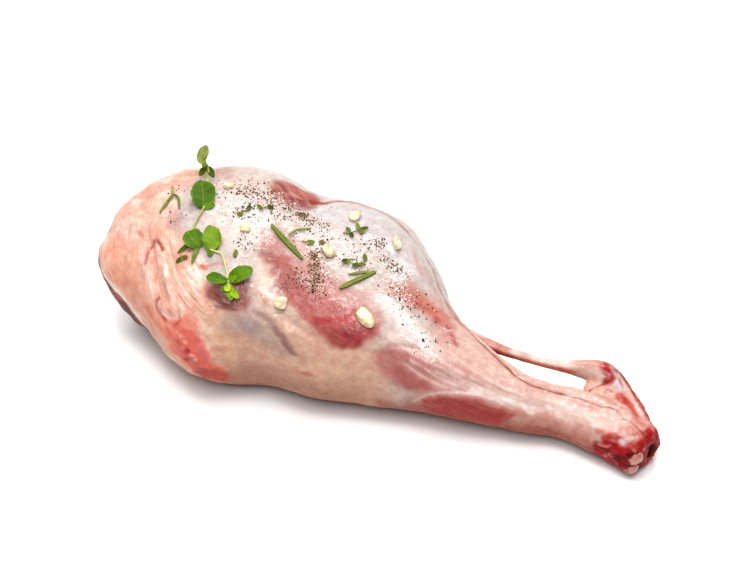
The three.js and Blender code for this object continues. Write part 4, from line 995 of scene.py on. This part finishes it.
# worn and chipped where the saw and the knife went: pits, and a groove between the knuckles
bonePoints += boneNormal * (0.45 * noise(bonePoints, 4.5, 51) + 0.2 * noise(bonePoints, 1.8, 52))[:, None]
groove = 0.9 * bell((bonePoints[:, 2] - 14.4) / 0.9) * ease(bonePoints[:, 0], 203, 208)
bonePoints -= boneNormal * groove[:, None]
bonePoints += middle
stain = 0.8 * ease(noise(bonePoints, 4, 54) + ease(-bonePoints[:, 0], -209, -203) * 1.2, 0.1, 0.9)[:, None]
boneTint = linear(bone["gristle"]) * (1 - stain) + linear(bone["stained"]) * stain
normalsOf(boneMesh, bonePoints)
shankBone = added("shankBone", boneMesh)
carry(shankBone, tint=opaque(boneTint))

# Gristle over raw bone: a dull ivory with blood soaked into its pits, still damp.
material = newMaterial("jointGristle")
stained = put("TexNoise", {"Vector": put("TexCoord", out="Object"), "Scale": 420.0, "Detail": 4.0})
boneColour = put("Mix", {0: 0.45, 6: put("Attribute", attribute_name="tint"), 7: stained}, 2, **overlay)
bump = put("Bump", {"Height": stained, "Strength": 0.5, "Distance": 0.0006})
put("OutputMaterial", [put("BsdfPrincipled", {
    "Base Color": boneColour, "Roughness": 0.38, "Normal": bump, "Subsurface Weight": 0.2,
    "Subsurface Radius": (1, 0.6, 0.45), "Subsurface Scale": 0.002, "Coat Weight": 0.3, "Coat Roughness": 0.2,
})])
finishPiece(shankBone, material, "bone", "shank_bone")
print("bone finished")

# The herbs
facing = np.array((0.2, -0.35, 0.9))  # leaves turn their faces this way
leafEdge = {"ripple": 0.03, "leastHalf": 0.14}  # how much its width wavers, and its half width at the tips


def bladeShell(places, width, colour, cup=0.0, thick=0.45, blunt=0.5, root=0.9, wave=0.0, groove=0.3,
               fine=False, skew=1.0):
    # a leaf or needle: a flat oval section carried along a row of places, with lifted edges and a groove
    row = np.array([overLeg(place)[0] for place in places])
    row[0] -= root * unit(row[1] - row[0])
    steps, count = (36, 44) if fine else (20, 20)
    t = (1 - np.cos(math.pi * np.linspace(0, 1, steps))) / 2
    centre = alongRow(row, t)
    tangent = unit(np.gradient(centre, axis=0))
    side = unit(np.cross(tangent, facing))
    front = np.cross(side, tangent)
    full = t ** skew  # moves the widest place towards the tip
    half = width / 2 * (4 * full * (1 - full)) ** blunt
    half *= 1 + leafEdge["ripple"] * np.sin(34 * t) + leafEdge["ripple"] * np.sin(15 * t + width)
    half = np.maximum(half, leafEdge["leastHalf"])[:, None]
    turn = 2 * math.pi * (np.arange(count) + 0.5) / count
    across, face = signedPower(np.cos(turn), 0.85), signedPower(np.sin(turn), 0.5)
    swing = (3 * math.pi * t)[:, None]
    lift = (  # edges that cup upwards, a wave along them, the groove of the midrib, and the thickness
        cup * across ** 2 * np.sin(math.pi * t)[:, None]
        + wave * np.sin(swing + 1.5 * across) * np.abs(across)
        - groove * bell(across / 0.16) * np.sin(math.pi * t)[:, None]
        + face * thick / 2 * np.minimum(1, 6 * half / width)
    )
    shell = closedShell(centre[:, None] + side[:, None] * (across * half)[..., None]
                        + front[:, None] * lift[..., None])
    blade = np.stack(np.broadcast_arrays(across * half / (width / 2), t[:, None], face * 1.0), -1)
    return shell, np.concatenate([blade.reshape(-1, 3), [(0, 0, 0), (0, 1, 0)]]), colour


def stemShell(places, radius, colour, taper=0.3):
    # a stalk: a thin tube along a row of places, thinner towards its end
    row = np.array([overLeg(place)[0] for place in places])
    thick = radius * np.linspace(1, 1 - taper, len(row))
    shell = closedShell(tubeRings(np.column_stack([row, thick]), 12 * len(row), 10, 0.03))
    return shell, (0, 0.5, 1.0), colour


def plant(name, node, material, slot, parts):
    # one piece from several shells, each with its place on the blade and its colour
    made = makeObject(name, *joined([part[0] for part in parts]))
    blade = [np.broadcast_to(part[1], (len(part[0][0]), 3)) for part in parts]
    tint = [np.tile(linear(part[2]), (len(part[0][0]), 1)) for part in parts]
    carry(made, blade=np.concatenate(blade), tint=opaque(np.concatenate(tint)))
    finishPiece(made, material, slot, node)


def leafMaterial(name, vein, rim, veinEvery, roughness, gloss, under="#a9bd86"):
    # a leaf's skin with a pale midrib, side veins that slant forward, and light that shines through
    material = newMaterial(name)
    blade = put("Attribute", out="Vector", attribute_name="blade")
    across, along, face = put("SeparateXYZ", [blade], slice(3))
    off = put("Math", [across], **absolute)
    slant = put("Math", (off, -0.28, along), **timesPlus)
    wave = put("Math", (slant, veinEvery), operation="PINGPONG")
    sideVein = put("MapRange", (wave, 0.0, veinEvery * 0.28, 1.0, 0.0), **smooth)
    midrib = put("MapRange", (off, 0.02, 0.11, 1.0, 0.0), **smooth)
    veins = put("Math", (sideVein, 0.4, midrib), use_clamp=True, **timesPlus)
    place = put("TexCoord", out="Object")
    grain = put("TexNoise", {"Vector": place, "Scale": 900.0, "Detail": 3.0})
    colour = put("Mix", {0: 0.3, 6: put("Attribute", attribute_name="tint"), 7: grain}, 2, **overlay)
    blotch = put("TexNoise", {"Vector": place, "Scale": 260.0})
    colour = put("Mix", {0: 0.5, 6: colour, 7: blotch}, 2, **overlay)
    underside = put("MapRange", (face, -0.1, -0.5, 0.0, 0.35))
    margin = put("MapRange", (put("Math", [face], **absolute), 0.5, 0.88, 0.75, 0.0))
    for share, hexColour in ((put("Math", (veins, 0.26), **times), vein), (underside, under), (margin, rim)):
        colour = put("Mix", {0: share, 6: colour, 7: rgba(hexColour)}, 2, **plain)
    height = put("Math", (blotch, 2.0, put("Math", (veins, -1.0, grain), **timesPlus)), **timesPlus)
    bump = put("Bump", {"Height": height, "Strength": 0.6, "Distance": 0.0004})
    put("OutputMaterial", [put("BsdfPrincipled", {
        "Base Color": colour, "Roughness": roughness, "Normal": bump, "Specular IOR Level": gloss,
        "Subsurface Weight": 0.1, "Subsurface Radius": (0.8, 1, 0.05), "Subsurface Scale": 0.0006,
    })])
    return material


oreganoLeaf = leafMaterial("oreganoLeaf", "#7f9a1c", "#5f7a1a", 0.13, 0.55, 0.12)
rosemaryLeaf = leafMaterial("rosemaryNeedle", "#a8ac72", "#4f5a22", 0.5, 0.55, 0.15)
thymeLeaf = leafMaterial("thymeLeaf", "#7c8638", "#6f742c", 0.3, 0.6, 0.12)

sprigUpper = {
    "stem": [(-160, 25, 13), (-157.5, 22.5, 9), (-154.5, 16, 4), (-147.5, 3.5, 2), (-142.5, -9, 1.7),
             (-141, -20, 1.7), (-139.5, -29, 1.7), (-132, -37.5, 1.8), (-126.5, -41, 1.8)],
    "radius": 0.8, "stalk": "#a9ad52",
    # places, width, colour, cup and wave of each leaf, and how far its widest place is from the root
    "leaves": [
        ([(-160, 25, 13), (-165, 26, 18), (-165, 34, 27)], 8.6, "#7f863e", 0.8, 0.3, 1.7),
        ([(-159.5, 24.5, 12), (-152, 21, 5)], 5.5, "#34440a", 0.6, 0.2, 1),
        ([(-159.5, 24.5, 12), (-165, 20.5, 5)], 5.5, "#4a600c", 0.6, 0.2, 1),
        ([(-142.5, -9, 1.7), (-148, -0.5, 6.5), (-155, 9, 9.5)], 18.5, "#3c5a00", 1.2, 0.8, 0.95),
        ([(-142.5, -9, 1.7), (-135, -5, 2.2)], 5.5, "#587a08", 0.5, 0.3, 1),
        ([(-126.5, -41, 1.8), (-133, -39.5, 6), (-140, -36.5, 7.5)], 15, "#466a02", 1.0, 0.6, 1),
        ([(-132, -37.5, 1.8), (-136.5, -43.5, 2.2), (-141, -50, 1.8)], 3.6, "#465410", 0.4, 0.1, 1),
        ([(-128, -40, 1.8), (-127, -47, 2.2), (-125.5, -55, 1.6)], 3.4, "#667034", 0.4, 0.1, 1),
    ],
    "bud": (-161, 23.5, 13.6, 2.4, "#5c7612"),  # x, y, z, radius and colour
}
sprigLower = {
    "stem": [(-117.5, -42, 1.9), (-111.5, -42, 1.8), (-107, -42.5, 1.8), (-100, -49.5, 1.8),
             (-93, -57.5, 1.9), (-90, -61.5, 2.2)],
    "radius": 0.8, "stalk": "#d9cf94",
    "leaves": [
        ([(-117.5, -42, 1.9), (-119, -36, 4.5), (-124.5, -28, 8)], 14, "#6c8a1a", 2.2, 1.0, 0.9),
        ([(-117.5, -42, 1.9), (-114.5, -47, 3)], 5, "#466202", 0.4, 0.2, 1),
        ([(-117.5, -42, 1.9), (-112.5, -38, 4.5)], 5, "#869e2a", 0.4, 0.2, 1),
        ([(-93, -57.5, 1.9), (-101, -60.5, 4.5), (-109.5, -60.5, 4.5)], 8.6, "#446800", 0.9, 0.4, 1.2),
        ([(-93, -57.5, 1.9), (-87, -52, 5), (-80.5, -44, 5.5)], 11.5, "#4c7200", 1.2, 0.6, 1.15),
        ([(-93, -57.5, 1.9), (-87.5, -54.5, 6)], 5.6, "#6c8c06", 0.5, 0.3, 1),
        ([(-92, -59, 2), (-85, -67.5, 3.2)], 7, "#749808", 0.6, 0.6, 1),
        ([(-90, -61.5, 2.2), (-81, -64, 3.2)], 6, "#86a812", 0.6, 0.5, 1),
        ([(-92, -59, 2), (-95, -65.5, 2)], 4.4, "#527202", 0.4, 0.3, 1),
        ([(-91, -60.5, 2.2), (-91, -65.5, 5)], 5.6, "#98b226", 0.5, 0.5, 1),
    ],
}
for name, node, sprig in (("oreganoUpper", "oregano_sprig_upper", sprigUpper),
                          ("oreganoLower", "oregano_sprig_lower", sprigLower)):
    parts = [stemShell(sprig["stem"], sprig["radius"], sprig["stalk"])]
    for places, width, colour, cup, wave, skew in sprig["leaves"]:
        large, blunt = width > 8, 0.5 if width > 12 else 0.65
        parts.append(bladeShell(places, width, colour, cup, blunt=blunt, wave=wave, fine=large, skew=skew))
    if "bud" in sprig:
        *place, radius, green = sprig["bud"]
        bud = closedShell(ballRings((radius, radius, radius * 0.85), 14, 16) + overLeg(place)[0])
        parts.append((bud, (0.5, 0.5, 1.0), green))
    plant(name, node, oreganoLeaf, "oregano", parts)

# places, width, thickness and colour of each needle
rosemary = {
    "rosemary_fork": [
        ([(-174, -21.5, 1.2), (-174, -11.5, 1.8), (-174, -1, 2.2)], 2.2, 1.2, "#7a7d3c"),
        ([(-174.5, -2, 2.2), (-168, -4.5, 1.8), (-161, -14, 1.2)], 2, 1.2, "#66702e"),
        ([(-174, -2.5, 2.2), (-179, 5, 2.4)], 2.6, 1.2, "#8a8a52"),
    ],
    "rosemary_needle_long": [([(-91, 0.5, 1.5), (-72, -9.5, 2), (-54.5, -17, 1.5)], 3.8, 1.7, "#5b6f20")],
    "rosemary_needle_thin": [([(-73.5, -4.5, 3.2), (-71, 3.5, 1.9), (-63.5, 11.5, 1.3)], 2, 1.1, "#80883e")],
    "rosemary_pair": [
        ([(-21, -24, 1.4), (-15.5, -14, 1.9), (-6.5, 6, 1.7)], 3.4, 1.6, "#6b7628"),
        ([(-21, -9.5, 1.3), (-15, -3, 1.8), (-6.5, 6, 1.7)], 2.2, 1.2, "#8a8c4a"),
    ],
}
thyme = {  # stem, then each leaf's two places
    "thyme_curl": ([(-113.5, -5, 1.5), (-112, 0.5, 1.7), (-110.5, 7, 1.4)],
                   [((-113, -3, 1.6), (-115, -7.5, 1.8)), ((-111.5, 2, 1.7), (-112.5, 7.5, 2))]),
    "thyme_stem": ([(-104, 9.5, 1.6), (-101, 15, 1.6), (-103.5, 22.5, 2)],
                   [((-104, 9.5, 1.6), (-108.5, 10, 2)), ((-101.5, 14, 1.6), (-96.5, 14.5, 1.8))]),
    "thyme_leaf_centre": ([(-63, -3.5, 1.3), (-60.5, -2.5, 1.4), (-58, -1, 1.4)],
                          [((-59.5, -2, 1.4), (-54.5, 1, 1.7))]),
    "thyme_leaf_far": ([(-52.5, 3, 1.3), (-51.5, 4.5, 1.5), (-51, 8, 1.5)],
                       [((-52, 3.5, 1.4), (-48.5, 5.5, 1.7))]),
    "thyme_sprig_far": ([(-43, 22, 1.5), (-39, 26, 1.7), (-35, 33, 1.9)],
                        [((-39.5, 26, 1.7), (-43.5, 28.5, 2.4)), ((-39, 26, 1.7), (-35, 23, 2)),
                         ((-35, 33, 1.9), (-40, 37, 3)), ((-35, 33, 1.9), (-30.5, 38.5, 3)),
                         ((-35, 33, 1.9), (-30.5, 31, 2.4))]),
    "thyme_sprig_near": ([(-28, 1, 1.7), (-23, 5, 1.7), (-19.5, 2.5, 1.9), (-17.5, 10.5, 1.7)],
                         [((-28, 1, 1.7), (-29.5, -4.5, 3.2)), ((-28, 1, 1.7), (-24.5, -2, 3)),
                          ((-19.5, 2.5, 1.9), (-22.5, -2.5, 2.2)), ((-19.5, 2.5, 1.9), (-14.5, 4.5, 3)),
                          ((-17.5, 10, 1.7), (-21, 13.5, 2))]),
    "oregano_scrap": ([(-137, -50.5, 1.4), (-135.5, -52.5, 1.5), (-134.5, -54, 1.4)],
                      [((-136, -52, 1.5), (-138.5, -56, 1.6)), ((-136, -52, 1.5), (-131.5, -50.5, 2))]),
    "thyme_leaf_dark": ([(-99, -35.5, 1.4), (-98.5, -37, 1.5), (-98, -39, 1.4)],
                        [((-99, -35.5, 1.4), (-97.5, -41, 1.6))]),
}
thymeLook = {
    "stalk": "#7a6a3a", "stalkRadius": 0.55, "leafWidth": 3.2,
    "greens": ["#4f6410", "#2c3a08", "#647618", "#3d4f0c", "#6b5a1e"],
}


def pieceName(node):
    # leg_meat becomes legMeat
    first, *others = node.split("_")
    return first + "".join(word.capitalize() for word in others)


for node, needles in rosemary.items():
    plant(pieceName(node), node, rosemaryLeaf, "rosemary", [
        bladeShell(places, width, colour, thick=thick, blunt=0.35, root=0, groove=0.45, fine=True)
        for places, width, thick, colour in needles])
for node, (stem, leaves) in thyme.items():
    parts, greens = [stemShell(stem, thymeLook["stalkRadius"], thymeLook["stalk"])], thymeLook["greens"]
    for k, places in enumerate(leaves):
        green = greens[(k + len(node)) % len(greens)]
        parts.append(bladeShell(places, thymeLook["leafWidth"], green, 0.3, 0.5, 0.6, wave=0.15))
    plant(pieceName(node), node, thymeLeaf, "thyme", parts)
print("herbs finished")

# The garlic
garlic = [  # x, y, length, width, height, turn and taper of each chopped bit
    (-55, -50, 11, 10, 7, 24, 0.3), (3.5, -31.5, 17, 9.5, 7.5, -15, -0.2), (-43.5, -1, 12, 8, 6.5, -27, 0.15),
    (-8, 39, 12, 5.5, 5, -48, 0.3), (-46, 44, 11, 8, 5.5, 84, -0.35), (-139, 20, 9, 5.5, 4, 24, 0.2),
    (-103.5, -16, 8, 6.5, 4, 12, 0.1),
]
garlicCut = {"faces": 6, "reach": 0.78, "stand": 0.38}  # knife faces, how far out, and how high it stands


def garlicShell(gx, gy, long, wide, high, degrees, taper, cuts):
    # a squarish lump, wider at one end, with its corners cut off by flat knife faces
    steps, count = 44, 56
    along, turn = np.meshgrid(np.linspace(0.008, 0.992, steps), np.arange(count) / count, indexing="ij")
    out = np.sin(math.pi * along) ** 0.6
    a = signedPower(np.cos(2 * math.pi * turn), 0.6) * out
    b = signedPower(np.sin(2 * math.pi * turn), 0.75) * out
    up = signedPower(-np.cos(math.pi * along), 0.7) * (1 - 0.25 * a * math.copysign(1, taper))
    lump = np.stack([a * long / 2, b * wide / 2 * (1 + taper * a), up * high / 2], -1)
    flat = lump.reshape(-1, 3)
    flat += unit(flat) * (0.09 * wide * noise(flat + cuts[0] * 50, 0.45 * wide, 61))[:, None]
    for cut in cuts:
        way = unit(cut)
        reach = np.abs(flat @ way).max() * garlicCut["reach"]
        flat -= np.clip(flat @ way - reach, 0, None)[:, None] * way
    flat += unit(flat) * (0.12 * noise(flat, 1.1, 62))[:, None]
    spot, normal = overLeg((gx, gy))
    normal = unit(normal)
    first = unit(np.cross((0, 1, 0), normal))
    basis = np.stack([first, np.cross(normal, first), normal])
    placed = turned(flat, degrees) @ basis + spot + normal * high * garlicCut["stand"]
    return closedShell(placed.reshape(steps, count, 3))


# Raw garlic, chopped: waxy cream flesh, yellower and glassy where the knife has crushed it.
material = newMaterial("choppedGarlic")
crushed = put("TexNoise", {"Vector": put("TexCoord", out="Object"), "Scale": 260.0, "Detail": 4.0,
                           "Roughness": 0.6})
crushShare = put("MapRange", (crushed, 0.42, 0.66, 0.0, 1.0), **smooth)
garlicColour = put("Mix", {0: crushShare, 6: rgba("#e4d6b4"), 7: rgba("#c9ab72")}, 2, **plain)
bump = put("Bump", {"Height": crushed, "Strength": 0.5, "Distance": 0.0008})
put("OutputMaterial", [put("BsdfPrincipled", {
    "Base Color": garlicColour, "Roughness": 0.4, "Normal": bump, "Coat Weight": 0.45, "Coat Roughness": 0.2,
    "Subsurface Weight": 0.35, "Subsurface Radius": (1, 0.8, 0.45), "Subsurface Scale": 0.003,
})])
for i, piece in enumerate(garlic):
    cuts = seeded.normal(size=(garlicCut["faces"], 3)) * (1, 1, 0.7)
    made = makeObject(f"garlic{i + 1}", *joined([garlicShell(*piece, cuts)]))
    finishPiece(made, material, "garlic", f"garlic_piece_{i + 1}")
print("garlic finished")

# Cracked pepper and coarse salt
# x, y, reach along x and y, how many grains and the share of brown ones, of each heap and sprinkling
pepperHeaps = [
    (-78, 24, 4.6, 3.8, 170, 0.8), (-70, 20, 9, 6, 50, 0.5), (-50, -9, 3, 4.4, 100, 0.85),
    (-45, -16, 3.6, 5.4, 170, 0.85), (-39, -25, 6, 6, 160, 0.8), (-50, -30, 8, 6, 90, 0.6),
    (-35, -33, 6, 5, 50, 0.6), (-134, 20, 11, 9, 90, 0.3), (-118, 24, 14, 10, 120, 0.3),
    (-100, 26, 14, 9, 90, 0.35), (-112, 8, 12, 9, 70, 0.2), (-92, 14, 12, 8, 60, 0.3),
    (-120, -3, 12, 7, 40, 0.2), (-97, -26, 7, 5, 50, 0.5), (-62, 22, 8, 5, 50, 0.6),
    (-56, 12, 14, 8, 50, 0.3), (-17, 33, 5, 4, 40, 0.7), (-9, 22, 7, 5, 45, 0.6), (3, 18, 7, 5, 45, 0.6),
    (-24, 4, 14, 10, 40, 0.3), (16, 2, 13, 11, 50, 0.2), (30, -2, 12, 12, 40, 0.1), (46, -18, 12, 9, 24, 0),
    (-62, -4, 14, 9, 36, 0.3), (-180, 6, 14, 8, 14, 0.2), (-162, -22, 8, 7, 14, 0.2),
    (-80, 48, 14, 7, 12, 0.3), (-30, 22, 12, 8, 30, 0.4),
]
saltHeaps = [
    (-122, 8, 17, 15, 180), (-100, 8, 15, 15, 170), (-78, 8, 14, 12, 110), (-104, -14, 15, 9, 80),
    (-55, 10, 14, 13, 90), (-32, 8, 14, 12, 100), (10, 8, 9, 8, 150), (18, -2, 8, 8, 90),
    (0, 18, 10, 10, 80), (6, -12, 9, 6, 50), (-34, -20, 10, 8, 70), (-110, 28, 14, 9, 80),
    (36, -16, 9, 6, 20), (-92, -28, 9, 7, 50),
]
grain = {"spread": 0.62, "stand": 0.22}  # of a heap's reach, and the height of its middle by its size
phi = (1 + 5 ** 0.5) / 2
chip = unit(np.array([  # a ball of twenty faces for pepper, and a cube for salt
    (-1, phi, 0), (1, phi, 0), (-1, -phi, 0), (1, -phi, 0), (0, -1, phi), (0, 1, phi), (0, -1, -phi),
    (0, 1, -phi), (phi, 0, -1), (phi, 0, 1), (-phi, 0, -1), (-phi, 0, 1),
], float))
chipFaces = np.array([
    (0, 11, 5), (0, 5, 1), (0, 1, 7), (0, 7, 10), (0, 10, 11), (1, 5, 9), (5, 11, 4), (11, 10, 2), (10, 7, 6),
    (7, 1, 8), (3, 9, 4), (3, 4, 2), (3, 2, 6), (3, 6, 8), (3, 8, 9), (4, 9, 5), (2, 4, 11), (6, 2, 10),
    (8, 6, 7), (9, 8, 1),
])
cube = np.array([(a, b, c) for a in (-1, 1) for b in (-1, 1) for c in (-1, 1)], float) * 0.8
cubeFaces = np.array([(0, 1, 3, 2), (4, 6, 7, 5), (0, 4, 5, 1), (2, 3, 7, 6), (0, 2, 6, 4), (1, 5, 7, 3)])


def scattered(heaps):
    # seeded places on the leg, thick in the middle of each heap and thinning outwards
    spots, facings = [], []
    for hx, hy, reachX, reachY, count in heaps:
        reach = (reachX * grain["spread"], reachY * grain["spread"])
        for sx, sy in seeded.normal(size=(count, 2)) * reach + (hx, hy):
            spot, normal = overLeg((sx, sy))
            spots.append(spot)
            facings.append(normal)
    return np.array(spots), unit(np.array(facings))


def grains(name, base, faces, heaps, sizes, ragged, material, colours, brown=()):
    # one mesh of many small grains, each stretched, roughened and turned its own way
    spots, facings = scattered([heap[:5] for heap in heaps])
    count = len(spots)
    size = sizes[0] + (sizes[1] - sizes[0]) * seeded.random(count) ** 2
    shapes = base[None] * (1 + ragged * seeded.uniform(-1, 1, (count, len(base), 1)))
    shapes = shapes * seeded.uniform(0.6, 1.15, (count, 1, 3)) * size[:, None, None] / 2
    spin = unit(seeded.normal(size=(count, 4)))
    w, i, j, k = spin.T
    turns = np.array([[1 - 2 * (j * j + k * k), 2 * (i * j - k * w), 2 * (i * k + j * w)],
                      [2 * (i * j + k * w), 1 - 2 * (i * i + k * k), 2 * (j * k - i * w)],
                      [2 * (i * k - j * w), 2 * (j * k + i * w), 1 - 2 * (i * i + j * j)]]).transpose(2, 0, 1)
    placed = np.einsum("nvk,nlk->nvl", shapes, turns)
    placed = placed + (spots + facings * (grain["stand"] * size)[:, None])[:, None]
    allFaces = (faces[None] + (np.arange(count) * len(base))[:, None, None]).reshape(-1, faces.shape[1])
    made = makeObject(name, placed.reshape(-1, 3), allFaces.tolist(), smooth=False)
    hues = np.array([linear(c) for c in colours])[seeded.integers(0, len(colours), count)]
    if brown:
        share = np.concatenate([np.full(heap[4], heap[5]) for heap in heaps])
        browns = np.array([linear(c) for c in brown])[seeded.integers(0, len(brown), count)]
        hues = np.where((seeded.random(count) < share)[:, None], browns, hues)
    carry(made, tint=opaque(np.repeat(hues, len(base), axis=0)))
    finishPiece(made, material, "meat", "leg_meat")
    print(name, count)


# Cracked peppercorns: black wrinkled husk outside, tan and cream meal inside, all dry and matt.
pepperHusk = newMaterial("crackedPepper")
meal = put("TexNoise", {"Vector": put("TexCoord", out="Object"), "Scale": 1800.0, "Detail": 2.0})
mealColour = put("Mix", {0: 0.6, 6: put("Attribute", attribute_name="tint"), 7: meal}, 2, **overlay)
put("OutputMaterial", [put("BsdfPrincipled", {"Base Color": mealColour, "Roughness": 0.8})])
# Coarse salt: clear crystals that look white where they are crowded, with bright faces.
saltCrystal = newMaterial("coarseSalt")
frost = put("TexNoise", {"Vector": put("TexCoord", out="Object"), "Scale": 1400.0})
put("OutputMaterial", [put("BsdfPrincipled", {
    "Base Color": rgba("#fbf9f7"), "Roughness": put("MapRange", {0: frost, 3: 0.15, 4: 0.5}), "IOR": 1.54,
    "Subsurface Weight": 0.3, "Subsurface Radius": (1, 1, 1), "Subsurface Scale": 0.0006,
})])
grains("crackedPepper", chip, chipFaces, pepperHeaps, (0.7, 1.8), 0.3, pepperHusk,
       ["#2a1a14", "#3a251a", "#4a3020", "#20140f"], ["#5f4028", "#7d5836", "#9a764c", "#b5986d", "#6b4a2e"])
grains("coarseSalt", cube, cubeFaces, saltHeaps, (0.5, 1.25), 0.2, saltCrystal, ["#ffffff"])
print("seasoning finished")

# Stage, light and camera
studio = {
    "floor": "#f7f6f5", "floorReach": 4000.0,
    "fill": 0.06,  # strength of the white surroundings
    # x, y, z of each soft box in metres, its two sizes and its power
    "boxes": [
        ((0, -0.1, 1.9), (1.1, 0.7), 23), ((0.25, -0.75, 1.8), (2.0, 1.3), 29),
        ((-0.3, 1.2, 1.6), (1.1, 0.7), 28), ((-1.2, 0.3, 1.5), (0.8, 0.8), 7),
    ],
}
sweep = np.array([(-1, -1, 0), (1, -1, 0), (1, 1, 0), (-1, 1, 0)]) * studio["floorReach"]
floor = makeObject("floor", sweep, [(0, 1, 2, 3)], smooth=False)
material = newMaterial("paperSweep")
put("OutputMaterial", [put("BsdfPrincipled", {"Base Color": rgba(studio["floor"]), "Roughness": 0.9})])
floor.data.materials.append(material)

world = bpy.data.worlds.new("studio")
world.use_nodes = True
surround = world.node_tree.nodes["Background"].inputs
surround[0].default_value, surround[1].default_value = (1, 1, 1, 1), studio["fill"]
bpy.context.scene.world = world
for i, (place, (wide, deep), power) in enumerate(studio["boxes"]):
    light = bpy.data.lights.new(f"softBox{i + 1}", "AREA")
    light.shape, light.size, light.size_y, light.energy = "RECTANGLE", wide, deep, power
    lamp = added(light.name, light)
    lamp.location = place
    lamp.rotation_euler = (Vector((0, 0, 0.05)) - Vector(place)).to_track_quat("-Z", "Y").to_euler()

turn, rise = math.radians(view["azimuth"]), math.radians(view["elevation"])
back = Vector((math.sin(turn) * math.cos(rise), -math.cos(turn) * math.cos(rise), math.sin(rise)))
lens = bpy.data.cameras.new("camera")
lens.lens, lens.sensor_width = view["lens"], 36
camera = added("camera", lens)
camera.location = (Vector(view["aim"]) + back * view["distance"]) * metre
camera.rotation_euler = (-back).to_track_quat("-Z", "Y").to_euler()
bpy.context.scene.camera = camera
bpy.context.scene.view_settings.view_transform = "Standard"
